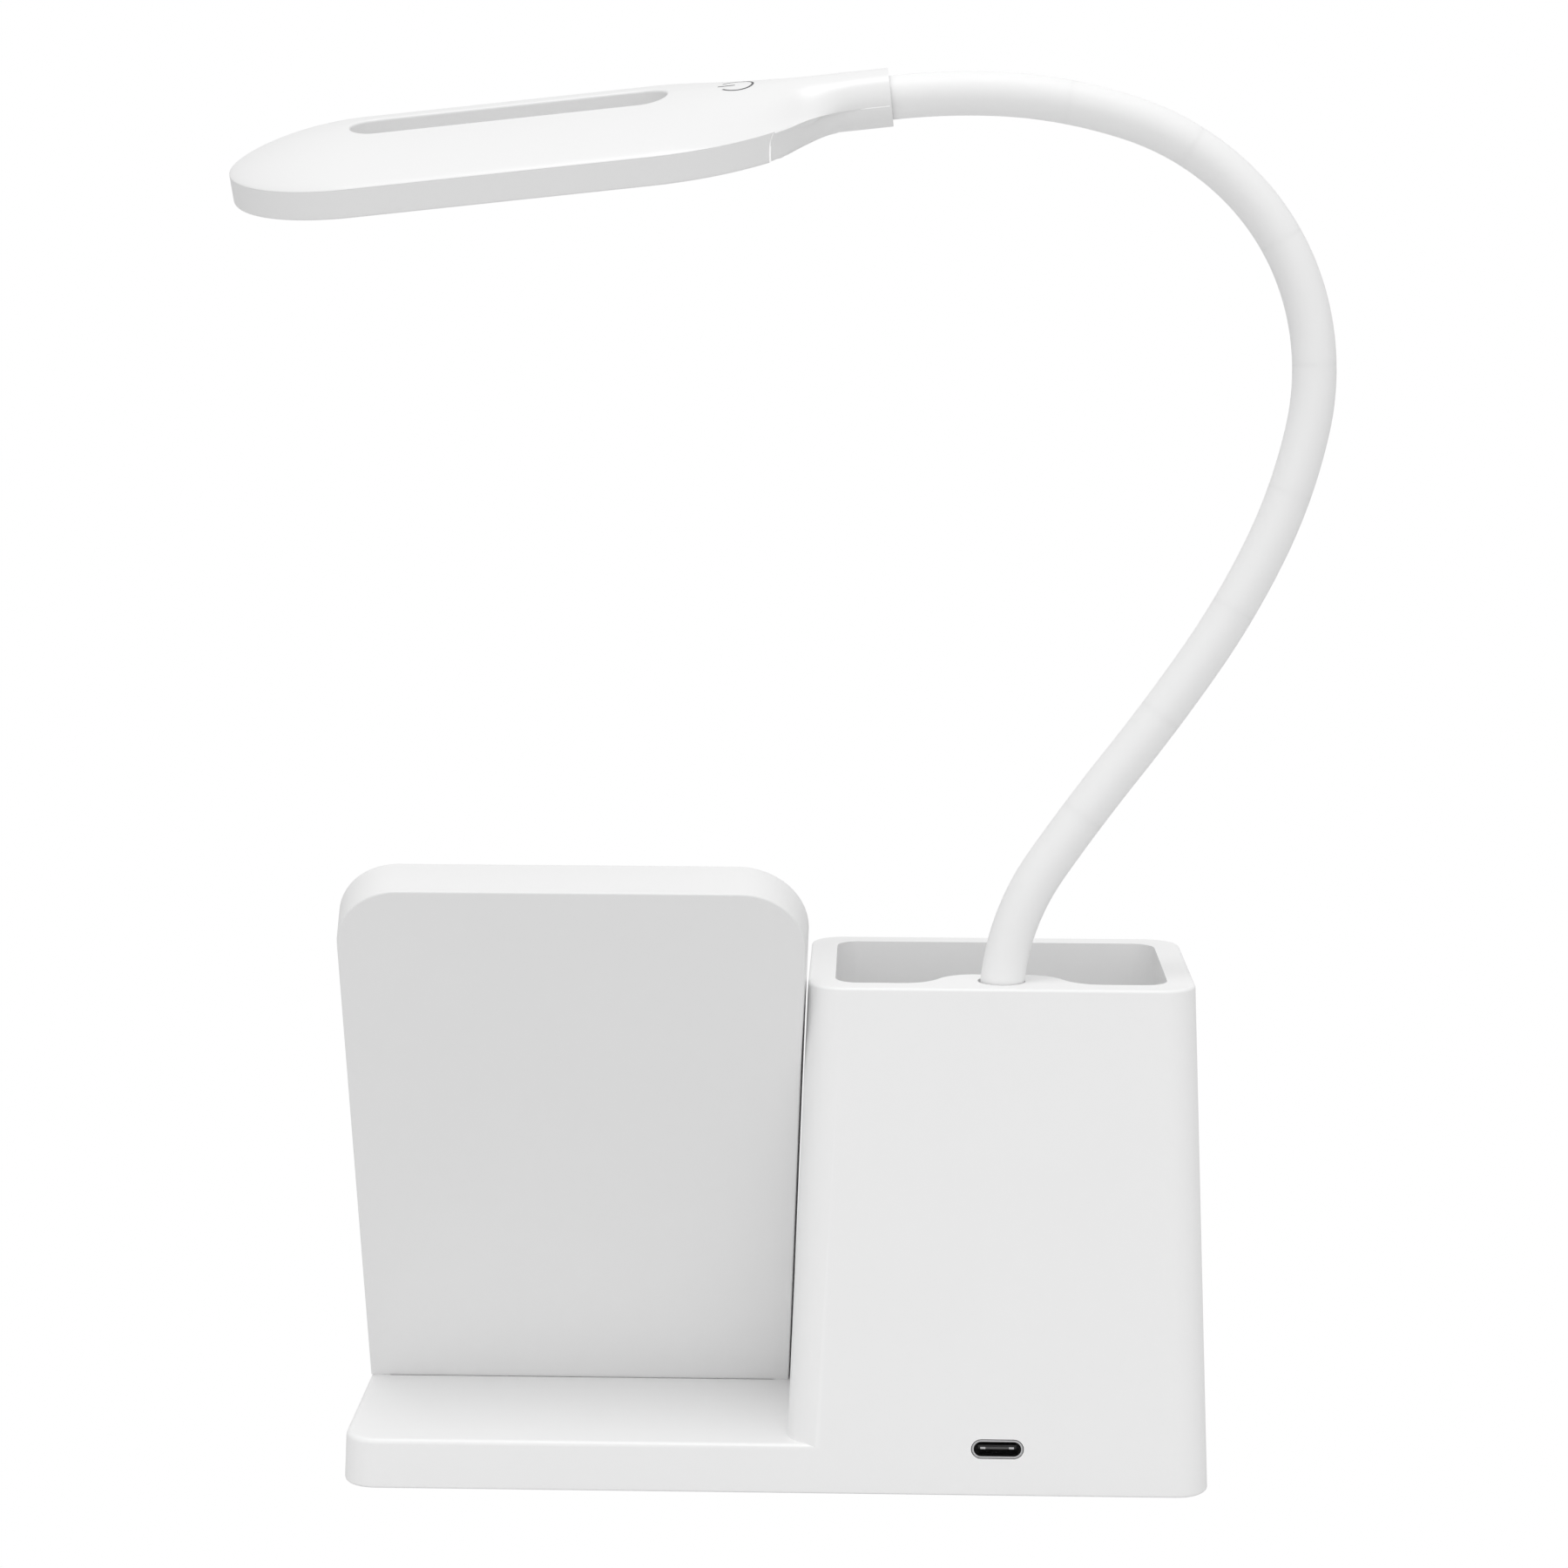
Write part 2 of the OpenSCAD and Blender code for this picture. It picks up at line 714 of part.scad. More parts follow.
module neck_ferrule() {
    color("silver") translate([neck_x, neck_y, seat_z]) difference() {
        cylinder(r = neck_r, h = ferrule_len);
        translate([0, 0, ferrule_floor]) cylinder(r = core_r + sleeve_gap, h = ferrule_len);
        translate([0, 0, -over]) cylinder(r = wire_bore_r, h = ferrule_len);
    }
}

// --- Head --------------------------------------------------------------------

// The place of the head: its dome looks up and towards the port side
module at_head() {
    end = neck_last + 1;
    translate(joint(end)) rotate([0, -link_dir(end), 0]) rotate([180 - head_roll, 0, 0]) children();
}

// The head seen from above, drawn in by inset
module head_outline(inset) {
    r = head_r - inset;
    translate([shoulder_l, -r]) square([tip_c - shoulder_l, 2 * r]);
    translate([tip_c, 0]) circle(r);
    translate([0, -collar_r + inset]) square([shoulder_l, 2 * (collar_r - inset)]);
    for (s = [0, 1]) mirror([0, s]) {
        intersection() {
            translate([shoulder_l, shoulder_cy]) circle(shoulder_r - inset);
            translate([touch.x, 0]) square([shoulder_l - touch.x + slice_t, head_r]);
        }
        if (shoulder_cy > 0) translate([touch.x, 0]) square([shoulder_l - touch.x, shoulder_cy]);
        difference() {
            translate([flare_cx, 0]) square([touch.x - flare_cx + inset, touch.y]);
            translate([flare_cx, flare_cy]) circle(flare_r + inset);
        }
    }
}

module head_column(inset, z0, z1) {
    translate([0, 0, z0]) linear_extrude(z1 - z0) head_outline(inset);
}

// The whole width of the head between two places along it
module head_zone(x0, x1, z0, z1) {
    translate([x0, -head_r - over, z0]) cube([x1 - x0, head_w + 2 * over, z1 - z0]);
}

// Points of the dome's section, from the rim to the crest
function dome_section(r, h) = [
    for (k = [0 : 6]) [r - (r - crest_r) * pow(k / 6, 1.15), h * sin(15 * k)]
];

// One end of the dome, turned about its centre
module dome_disc(r, h) {
    rotate_extrude($fn = 48)
        polygon(concat([[0, -over], [r, -over]], dome_section(r, h), [[0, h]]));
}

module collar_slice(t) {
    translate([flare_cx, 0, 0]) rotate([0, 90, 0]) cylinder(r = collar_r - t, h = slice_t, $fn = 48);
}

module collar_rod(r, x1) {
    translate([-over, 0, 0]) rotate([0, 90, 0]) cylinder(r = r, h = x1 + over);
}

// The solid under the domed top, drawn in by t all round
module dome_body(t) {
    r = head_r - t;
    h = dome_h - t;
    hull() {
        translate([shoulder_l, 0, band_z]) dome_disc(r, h);
        translate([tip_c, 0, band_z]) dome_disc(r, h);
    }
    hull() {
        for (x = dome_x)
            translate([x, 0, band_z])
                dome_disc(shoulder_r - t - norm([shoulder_l - x, shoulder_cy]), h);
        collar_slice(t);
    }
    collar_rod(collar_r - t, flare_cx + over);
}

// The solid of the head's lower part near the collar, drawn in by t, up to a height.
// The collar runs on under the shoulder, and the flat underside spreads out of it
module lower_body(t, top) {
    spread = 0.83;
    start = flare_cx + 3.3;
    intersection() {
        translate([start, 0, 0]) rotate([0, 90, 0])
            cylinder(r1 = collar_r - t, r2 = collar_r - t + spread * head_r, h = head_r);
        head_column(t, floor_z + t, top);
    }
    collar_rod(collar_r - t, start + over);
    translate([start + over - 0.5, 0, 0]) rotate([0, 90, 0])
        cylinder(r1 = collar_r - t - joint_step, r2 = collar_r - t - 0.6, h = 7);
}

module slot_form(grow, z0, z1) {
    translate([0, 0, z0]) linear_extrude(z1 - z0) stadium(slot_c0, slot_c1, slot_r + grow);
}

module head_shell() {
    top = band_z + dome_h + over;
    color("white") at_head() difference() {
        union() {
            difference() {
                intersection() {
                    dome_body(0);
                    head_column(0, band_z, top);
                    head_zone(0, head_l + over, band_z, top);
                }
                intersection() {
                    dome_body(head_wall);
                    head_column(head_wall, band_z - over, top);
                    head_zone(collar_stop, head_l, band_z - over, top);
                }
            }
            intersection() {
                slot_form(head_wall, floor_z, band_z + dome_h);
                union() {
                    dome_body(0.3);
                    head_zone(0, head_l, floor_z - over, band_z);
                }
            }
            for (x = post_x, s = [-1, 1])
                translate([x, s * led_y, led_board_z + led_board_t])
                    cylinder(r = 1.5, h = band_z + 2.9 - led_board_z - led_board_t);
            translate([sensor_x, 0, sensor_z + sensor_t]) cylinder(r = 4, h = 1);
        }
        slot_form(0, floor_z - over, top);
        collar_rod(neck_r + collar_gap, collar_stop);
    }
}

module neck_cover() {
    color("white") at_head() difference() {
        union() {
            difference() {
                intersection() {
                    lower_body(0, band_z);
                    head_zone(0, seam_x, floor_z - over, band_z);
                }
                intersection() {
                    lower_body(head_wall, band_z + over);
                    head_zone(collar_stop, head_l, floor_z - over, band_z + over);
                }
            }
            translate([clamp_x, -clamp_w / 2, floor_z + head_wall - slice_t])
                cube([clamp_len, clamp_w, axis_h - head_wall - 0.05 + slice_t]);
        }
        collar_rod(neck_r + collar_gap, collar_stop);
        collar_rod(core_end_r + sleeve_gap, seam_x);
        clamp_holes();
    }
}

module head_bezel() {
    x1 = head_l + over;
    color("white") at_head() difference() {
        intersection() {
            head_column(0, floor_z, band_z);
            head_zone(seam_x, x1, floor_z, band_z);
        }
        intersection() {
            head_column(head_wall, diffuser_z, band_z + over);
            head_zone(seam_x + head_wall, x1, diffuser_z, band_z + over);
        }
        intersection() {
            head_column(lip_w, floor_z - over, band_z);
            head_zone(seam_x + lip_w, x1, floor_z - over, band_z);
        }
    }
}

// A sheet inside the band, with a hole for the slot's wall
module ring_sheet(inset, x0, z, t, slot_gap) {
    difference() {
        intersection() {
            head_column(inset, z, z + t);
            head_zone(x0, head_l, z, z + t);
        }
        slot_form(head_wall + slot_gap, z - over, z + t + over);
    }
}

module diffuser() {
    color("ghostwhite") at_head()
        ring_sheet(head_wall + fit_gap, seam_x + head_wall + fit_gap, diffuser_z, diffuser_t, fit_gap / 4);
}

module led_board() {
    color("gainsboro") at_head()
        ring_sheet(head_wall + 2 * fit_gap, seam_x + 5, led_board_z, led_board_t, fit_gap);
}

module led_chips() {
    step = (slot_c1 - slot_c0) / (led_count - 1);
    color("khaki") at_head() for (i = [0 : led_count - 1], s = [-1, 1])
        translate([slot_c0 + i * step - led_size.x / 2, s * led_y - led_size.y / 2, led_board_z - led_size.z])
            cube(led_size);
}

module touch_sensor() {
    color("peru") at_head() translate([sensor_x, 0, sensor_z]) cylinder(r = 5, h = sensor_t);
}

module head_leads() {
    r = 0.6;
    top = led_board_z + led_board_t;
    color("firebrick") at_head() {
        for (s = [-1, 1]) wire([
            [core_in - 2, s * 0.7, 0], [core_in + 1.5, s * 0.7, 0.6],
            [seam_x + 3.5, s * 0.7, 0.9], [seam_x + 9, s * 1.5, top + r]
        ], r);
        translate([sensor_x + 3, 3, top]) cylinder(r = 0.4, h = sensor_z - top);
    }
}

// The strap that holds the end of the hose down on the neck cover
module neck_clamp() {
    color("silver") at_head() difference() {
        intersection() {
            union() {
                translate([clamp_x, 0, 0]) rotate([0, 90, 0]) cylinder(r = 2.9, h = clamp_len);
                translate([clamp_x, -clamp_w / 2, 0]) cube([clamp_len, clamp_w, clamp_t]);
            }
            head_zone(clamp_x, clamp_x + clamp_len, 0, axis_h);
        }
        collar_rod(core_end_r + sleeve_gap, seam_x);
        clamp_holes();
    }
}

module clamp_holes() {
    for (s = [-1, 1])
        translate([clamp_x + clamp_len / 2, s * clamp_screw_y, clamp_screw_z]) cylinder(r = 0.8 + screw_gap, h = 6);
}

module clamp_screws() {
    color("silver") at_head() for (s = [-1, 1])
        translate([clamp_x + clamp_len / 2, s * clamp_screw_y, 0]) {
            translate([0, 0, clamp_t]) cylinder(r = 1.4, h = 0.9);
            translate([0, 0, clamp_screw_z + 0.2]) cylinder(r = 0.8, h = clamp_t - clamp_screw_z);
        }
}

// --- What is drawn -----------------------------------------------------------

base_housing();
phone_board();
board_cover();
bottom_cover();
ballast_plate();
rubber_feet();
bottom_screws();
board_screws();
battery_cell();
battery_tabs();
main_board();
board_chips();
port_shell();
port_tongue();
base_leads();
neck_ferrule();
neck_core(0);  // neck_core_0
neck_sleeve(0);  // neck_sleeve_0
neck_core(1);  // neck_core_1
neck_sleeve(1);  // neck_sleeve_1
neck_core(2);  // neck_core_2
neck_sleeve(2);  // neck_sleeve_2
neck_core(3);  // neck_core_3
neck_sleeve(3);  // neck_sleeve_3
neck_core(4);  // neck_core_4
neck_sleeve(4);  // neck_sleeve_4
neck_core(5);  // neck_core_5
neck_sleeve(5);  // neck_sleeve_5
neck_core(6);  // neck_core_6
neck_sleeve(6);  // neck_sleeve_6
neck_core(7);  // neck_core_7
neck_sleeve(7);  // neck_sleeve_7
neck_core(8);  // neck_core_8
neck_sleeve(8);  // neck_sleeve_8
neck_core(9);  // neck_core_9
neck_sleeve(9);  // neck_sleeve_9
head_shell();
head_bezel();
neck_cover();
diffuser();
led_board();
led_chips();
touch_sensor();
head_leads();
neck_clamp();
clamp_screws();
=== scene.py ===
# %% [markdown]
# # A gooseneck desk lamp with a pen cup and a phone board
#
# The real lamp has a white moulded base with a pen cup, a board that a phone leans on, a neck in a
# silicone sleeve, and a flat oval head with a slot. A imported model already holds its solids, its
# moving bodies and its inner pieces, and it is the fixed frame of this scene.
#
# This lesson dresses that model. The pieces that the eye meets first are built again as smooth
# meshes, in the frame's own place, and every piece gets a material. They could also be shown as
# the solids are, but the solids are made of flat facets and have no fine edges.

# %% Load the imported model
import json
import math

import bmesh
import bpy
from mathutils import Matrix, Vector


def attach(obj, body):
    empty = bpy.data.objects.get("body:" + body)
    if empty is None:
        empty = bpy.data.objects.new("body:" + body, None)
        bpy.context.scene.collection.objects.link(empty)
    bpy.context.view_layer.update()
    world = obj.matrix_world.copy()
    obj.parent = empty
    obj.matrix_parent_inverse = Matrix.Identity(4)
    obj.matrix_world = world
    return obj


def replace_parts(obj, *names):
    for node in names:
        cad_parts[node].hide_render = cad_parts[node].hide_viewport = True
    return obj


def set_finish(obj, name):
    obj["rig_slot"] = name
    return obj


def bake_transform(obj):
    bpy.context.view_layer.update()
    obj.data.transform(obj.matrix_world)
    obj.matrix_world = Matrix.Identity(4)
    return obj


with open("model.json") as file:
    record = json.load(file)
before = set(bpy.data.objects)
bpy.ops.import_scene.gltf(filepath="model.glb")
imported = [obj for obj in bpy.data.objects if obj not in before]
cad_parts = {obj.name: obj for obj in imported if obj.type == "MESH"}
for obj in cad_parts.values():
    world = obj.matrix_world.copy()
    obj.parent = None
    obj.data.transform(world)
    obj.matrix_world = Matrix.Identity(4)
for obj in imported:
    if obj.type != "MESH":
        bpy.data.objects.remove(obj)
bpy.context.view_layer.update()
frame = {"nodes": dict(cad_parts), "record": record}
MM = 0.001
print(len(frame["nodes"]), "solid pieces in the frame")

# %% [markdown]
# ## The camera
# The photograph was taken from the side with the port, a little above the cup's rim, with a long
# lens. A camera could be placed by eye, but then nothing else can be compared. Its turn, place and
# lens were fitted to the base's edges, the cup's rim and the board, and are given here as they are:
# degrees, millimetres, and the distance to the picture in the photograph's own pixels.

# %% Place the camera
CAM_AT = (17.26, -632.73, 217.99)
CAM_YAW, CAM_PITCH, CAM_ROLL = -1.517, 8.601, 0.211
FOCAL_PX, FRAME_PX, SENSOR_MM = 4100, 1800, 36


def camera_turn():
    """The camera's own right, up and backward directions."""
    yaw, pitch, roll = (math.radians(a) for a in (CAM_YAW, CAM_PITCH, CAM_ROLL))
    right = Vector((math.cos(yaw), -math.sin(yaw), 0))
    look = Vector((math.sin(yaw) * math.cos(pitch), math.cos(yaw) * math.cos(pitch), -math.sin(pitch)))
    up = right.cross(look)
    tilted_right = math.cos(roll) * right + math.sin(roll) * up
    tilted_up = -math.sin(roll) * right + math.cos(roll) * up
    return Matrix((tilted_right, tilted_up, -look)).transposed().to_4x4()


lens = bpy.data.cameras.new("camera")
lens.sensor_width, lens.sensor_fit = SENSOR_MM, "HORIZONTAL"
lens.lens = FOCAL_PX / FRAME_PX * SENSOR_MM
lens.clip_start, lens.clip_end = 0.01, 20
camera = bpy.data.objects.new("camera", lens)
camera_place = camera_turn()
camera_place.translation = Vector(CAM_AT) * MM
camera.matrix_world = camera_place
bpy.context.scene.collection.objects.link(camera)
bpy.context.scene.camera = camera
print(f"lens of {lens.lens:.0f} mm")

# %% [markdown]
# ## Working with operators
# An operator acts on all that is selected, and the loaded frame is still selected. So each step
# first selects its own object alone. Work on points, edges and faces happens in edit mode, with the
# mesh open. The alternative is to write meshes as lists of points and faces, which is quick to
# run but hard to follow by hand.

# %% Select one object, open its mesh, and say what was made
def select_only(*objs):
    """Selects these objects and no others; the last one becomes the active one."""
    for other in list(bpy.context.selected_objects):
        other.select_set(False)
    for obj in objs:
        obj.select_set(True)
        bpy.context.view_layer.objects.active = obj


def open_mesh(obj):
    select_only(obj)
    bpy.ops.object.mode_set(mode="EDIT")
    bpy.ops.mesh.select_all(action="SELECT")


def close_mesh():
    bpy.ops.object.mode_set(mode="OBJECT")


def tell(obj):
    """Prints an object's size in millimetres and how many faces it has."""
    places = list(zip(*(v.co for v in obj.data.vertices)))
    spans = " x ".join(f"{(max(along) - min(along)) / MM:.1f}" for along in places)
    print(f"{obj.name}: {spans} mm, {len(obj.data.polygons)} faces")


select_only()

# %% [markdown]
# ## Primitives at their size and place
# Holes and plain blocks start as a cylinder or a cube that is added where it belongs. Its place is
# then moved into its mesh, so that the object itself stays at the origin, unturned and unscaled,
# as the frame's own pieces are.

# %% A cube and a cylinder in millimetres
def name_new(name):
    """Names the primitive that was just added, and moves its place into its mesh."""
    obj = bpy.context.object
    obj.name = obj.data.name = name
    bpy.ops.object.transform_apply(location=True, rotation=True, scale=True)
    bpy.ops.object.shade_smooth()
    return obj


def box(name, low, high):
    low, high = Vector(low) * MM, Vector(high) * MM
    bpy.ops.mesh.primitive_cube_add(size=1, location=(low + high) / 2, scale=high - low, calc_uvs=False)
    return name_new(name)


def rod(name, x, y, z0, z1, r, sides):
    """An upright cylinder between two heights."""
    bpy.ops.mesh.primitive_cylinder_add(vertices=sides, radius=r * MM, depth=(z1 - z0) * MM,
                                        location=Vector((x, y, (z0 + z1) / 2)) * MM, calc_uvs=False)
    return name_new(name)


# %% [markdown]
# ## Extruding from ring to ring
# Most of the lamp's walls lean, bow or flare, so a straight extrusion doesn't fit them. A circle is
# added instead, its points are laid on the piece's first outline, and it is extruded to each next
# outline in turn. This draws any wall whose outlines all have the same number of points.

# %% The loft
WELD = 1e-7


def lay_newest(obj, ring):
    """Moves the newest points of the open mesh onto a ring."""
    mesh = bmesh.from_edit_mesh(obj.data)
    mesh.verts.ensure_lookup_table()
    for vert, at in zip(mesh.verts[-len(ring):], ring):
        vert.co = Vector(at) * MM
    bmesh.update_edit_mesh(obj.data)


def loft(name, rings, kind="solid"):
    """A solid is closed at both ends, a loop comes back to its first ring, and a skin stays open."""
    rings = list(rings)
    fill = "NGON" if kind == "solid" else "NOTHING"
    bpy.ops.mesh.primitive_circle_add(vertices=len(rings[0]), radius=MM, fill_type=fill, calc_uvs=False)
    obj = name_new(name)
    open_mesh(obj)
    lay_newest(obj, rings[0])
    for ring in rings[1:] + (rings[:1] if kind == "loop" else []):
        bpy.ops.mesh.extrude_region()
        lay_newest(obj, ring)
    bpy.ops.mesh.select_all(action="SELECT")
    if kind == "loop":
        bpy.ops.mesh.remove_doubles(threshold=WELD)
    bpy.ops.mesh.normals_make_consistent(inside=False)
    close_mesh()
    bpy.ops.object.shade_smooth()
    return obj


def prism(name, outline, z0, z1):
    return loft(name, [[(x, y, z) for x, y in outline] for z in (z0, z1)])


# %% [markdown]
# ## Joining, cutting and softening
# The base is one moulding, so its blocks are joined and its hollows cut with booleans. The exact
# solver is slower than the others, but it keeps flush faces clean, and the plate and the box
# share two of them. A real mould never leaves a sharp edge, so a small bevel follows. Weighted
# normals then keep the flat walls flat right up to the bevel.

# %% Booleans, bevels and normals
TOUCHING = 2e-6


def apply_modifiers(obj):
    select_only(obj)
    for name in [m.name for m in obj.modifiers]:
        bpy.ops.object.modifier_apply(modifier=name)


def combine(obj, other, how):
    """Joins another solid to this one, or cuts it out, and then removes the other."""
    step = obj.modifiers.new("boolean", "BOOLEAN")
    step.operation, step.object, step.solver = how, other, "EXACT"
    apply_modifiers(obj)
    spare = other.data
    bpy.data.objects.remove(other)
    bpy.data.meshes.remove(spare)


def flatten_normals(obj):
    obj.modifiers.new("normals", "WEIGHTED_NORMAL").keep_sharp = True
    apply_modifiers(obj)
    obj.data.polygons.foreach_set("use_smooth", [True] * len(obj.data.polygons))


def add_bevel(obj, width, segments, angle):
    bevel = obj.modifiers.new("bevel", "BEVEL")
    bevel.width, bevel.segments = width * MM, segments
    bevel.limit_method, bevel.angle_limit = "ANGLE", math.radians(angle)


def soften(obj, width, segments, angle=28):
    """Cleans what the booleans left, then rounds the edges that turn by more than an angle."""
    open_mesh(obj)
    bpy.ops.mesh.remove_doubles(threshold=TOUCHING)
    bpy.ops.mesh.dissolve_degenerate(threshold=TOUCHING)
    close_mesh()
    add_bevel(obj, width, segments, angle)
    flatten_normals(obj)


# %% [markdown]
# ## Outlines
# Every outline of the lamp is made of straight lines and arcs, as a designer draws it. A curve
# object could hold them too. Plain lists of points are used, because they feed the loft as they are.

# %% Arcs and the outlines made of them
def arc(cx, cy, r, a0, a1, n):
    return [(cx + r * math.cos(math.radians(a0 + (a1 - a0) * k / n)),
             cy + r * math.sin(math.radians(a0 + (a1 - a0) * k / n))) for k in range(n + 1)]


def round_rect(x0, y0, x1, y1, r, n=10):
    return (arc(x1 - r, y0 + r, r, -90, 0, n) + arc(x1 - r, y1 - r, r, 0, 90, n)
            + arc(x0 + r, y1 - r, r, 90, 180, n) + arc(x0 + r, y0 + r, r, 180, 270, n))


def stadium(x0, x1, r, n=12):
    return arc(x1, 0, r, -90, 90, n) + arc(x0, 0, r, 90, 270, n)


# %% [markdown]
# ## The base housing
# The base is one moulding in white plastic: a low plate that is the shelf, and a tall box at its
# right. All outer walls lean in by 2.3 degrees, so that the moulding leaves its mould. The near and
# right walls of the plate and the box are flush.
#
# Two cubes with bevelled edges would be the quick way. The corners keep one radius while the walls
# lean, though, and the rims have small edges of their own, so both blocks are lofted from rounded
# rectangles. Sizes are in millimetres. Most are those of the solids, and a few edges follow the
# photograph more closely.

# %% The plate and the box
BASE_W, BASE_D, PLATE_H, FOOT_GAP = 153.0, 62.0, 9.7, 0.8
BOX_W, BOX_D, BOX_H = 74.7, 54.0, 90.8
CORNER_R, FOOT_EDGE, SHELF_EDGE, RIM_EDGE = 6.0, 0.5, 0.9, 0.5
SLOPE = math.tan(math.radians(2.3))
LEFT_X, NEAR_Y = -BASE_W / 2, -BASE_D / 2
BOX_LEFT, BOX_FAR = BASE_W / 2 - BOX_W, NEAR_Y + BOX_D
BOX_MID = BASE_W / 2 - BOX_W / 2


def drafted_ring(x0, y0, w, d, z, extra):
    """The block's outline at a height, drawn in by the walls' lean and by an extra inset."""
    i = SLOPE * z + extra
    return [(x, y, z) for x, y in round_rect(x0 + i, y0 + i, x0 + w - i, y0 + d - i, CORNER_R - extra)]


def drafted_block(name, x0, y0, w, d, z0, z1, foot_r, edge_r):
    """A block with leaning walls, a round edge at its top and, if given, one at its foot."""
    rings = []
    for a in (0, 30, 60, 90) if foot_r else (90,):
        s, c = math.sin(math.radians(a)), math.cos(math.radians(a))
        rings.append(drafted_ring(x0, y0, w, d, z0 + foot_r * (1 - c), foot_r * (1 - s)))
    for a in (0, 18, 36, 54, 72, 90):
        s, c = math.sin(math.radians(a)), math.cos(math.radians(a))
        rings.append(drafted_ring(x0, y0, w, d, z1 - edge_r + edge_r * s, edge_r * (1 - c)))
    return loft(name, rings)


housing = drafted_block("housing", LEFT_X, NEAR_Y, BASE_W, BASE_D, FOOT_GAP, PLATE_H, FOOT_EDGE, SHELF_EDGE)
tower = drafted_block("tower", BOX_LEFT, NEAR_Y, BOX_W, BOX_D, PLATE_H - SHELF_EDGE, BOX_H, 0, RIM_EDGE)
combine(housing, tower, "UNION")
tell(housing)

# %% [markdown]
# ## The ledge's lip
# On the side away from the photograph a phone stands on the shelf, and a low lip keeps it from
# sliding off. It is hidden in the photograph, so it is a plain rib with a round top.

# %% The lip
LIP_R, LIP_H, LIP_SINK, LIP_INSET = 1.3, 4, 1.2, 1.2
LIP_LEFT, LIP_RIGHT = LEFT_X + 10, BOX_LEFT - 4

lip_y = BASE_D / 2 - SLOPE * PLATE_H - LIP_INSET - LIP_R
lip_top = [(y, PLATE_H + LIP_H - LIP_R + z) for y, z in arc(0, 0, LIP_R, 180, 0, 10)]
lip_section = [(-LIP_R, PLATE_H - LIP_SINK)] + lip_top + [(LIP_R, PLATE_H - LIP_SINK)]
lip = loft("lip", [[(x, lip_y + y, z) for y, z in lip_section] for x in (LIP_LEFT, LIP_RIGHT)])
combine(housing, lip, "UNION")
tell(housing)

# %% [markdown]
# ## The hollow underside
# A moulding is a shell, so the plate and the lower part of the box are hollow from below. Solidify
# could make the wall, but it would also hollow the cup's floor, so two prisms are cut out.

# %% Cut the underside
WALL, CUP_FLOOR = 2.2, 25.0
PLATE_INSET, BOX_INSET = WALL + 0.3, WALL + 0.7

plate_hollow = round_rect(LEFT_X + PLATE_INSET, NEAR_Y + PLATE_INSET,
                          -LEFT_X - PLATE_INSET, -NEAR_Y - PLATE_INSET, CORNER_R - WALL)
combine(housing, prism("under", plate_hollow, -1, PLATE_H - WALL), "DIFFERENCE")
box_hollow = round_rect(BOX_LEFT + BOX_INSET, NEAR_Y + BOX_INSET,
                        BASE_W / 2 - BOX_INSET, BOX_FAR - BOX_INSET, CORNER_R - WALL)
combine(housing, prism("under_box", box_hollow, 0, CUP_FLOOR - WALL), "DIFFERENCE")
tell(housing)

# %% [markdown]
# ## The pen cup and the neck's boss
# The cup is open at the top, with upright walls. A boss for the neck stands at its near wall. From
# above, the boss is a bell: a flat front, and flanks that swing out into the wall in two arcs that
# meet smoothly. A cylinder for the boss would leave hard creases, so the bell is part of the
# cup's one outline, and the cup is cut with it.

# %% Cut the cup around the boss
RIM_W, CUP_R = 4.7, 4.0
BOSS_FLAT, BOSS_FLANK, BOSS_WALL, BOSS_EXTRA, NECK_HOLE_R = 4.4, 13.0, 1.2, 3.2, 4.15
CUP_X0, CUP_X1 = BOX_LEFT + SLOPE * BOX_H + RIM_W, BASE_W / 2 - SLOPE * BOX_H - RIM_W
CUP_Y0, CUP_Y1 = NEAR_Y + SLOPE * BOX_H + RIM_W, BOX_FAR - SLOPE * BOX_H - RIM_W
BOSS_DEPTH = 2 * NECK_HOLE_R + BOSS_WALL - RIM_W + BOSS_EXTRA
NECK_X, NECK_Y = BOX_MID, CUP_Y0 + BOSS_DEPTH - BOSS_WALL - NECK_HOLE_R
NEAREST = 0.05


def boss_outline():
    """The bell, from the near wall at its left to the near wall at its right."""
    half, run = BOSS_DEPTH / 2, BOSS_FLANK / 2
    r = (run * run + half * half) / (2 * half)
    sweep = math.degrees(math.asin(run / r))
    y0, top = CUP_Y0, CUP_Y0 + BOSS_DEPTH
    left, right = NECK_X - BOSS_FLAT, NECK_X + BOSS_FLAT
    bell = (arc(left - 2 * run, y0 + r, r, 270, 270 + sweep, 8)
            + arc(left, top - r, r, 90 + sweep, 90, 10)
            + arc(right, top - r, r, 90, 90 - sweep, 10)
            + arc(right + 2 * run, y0 + r, r, 270 - sweep, 270, 8))
    return [p for k, p in enumerate(bell) if k == 0 or math.dist(p, bell[k - 1]) > NEAREST]


def cup_corners():
    return (arc(CUP_X1 - CUP_R, CUP_Y0 + CUP_R, CUP_R, -90, 0, 8)
            + arc(CUP_X1 - CUP_R, CUP_Y1 - CUP_R, CUP_R, 0, 90, 8)
            + arc(CUP_X0 + CUP_R, CUP_Y1 - CUP_R, CUP_R, 90, 180, 8)
            + arc(CUP_X0 + CUP_R, CUP_Y0 + CUP_R, CUP_R, 180, 270, 8))


combine(housing, prism("cup", boss_outline() + cup_corners(), CUP_FLOOR, BOX_H + 2), "DIFFERENCE")
print(f"cup: {CUP_X1 - CUP_X0:.1f} x {CUP_Y1 - CUP_Y0:.1f} mm, boss {BOSS_DEPTH:.1f} mm deep")

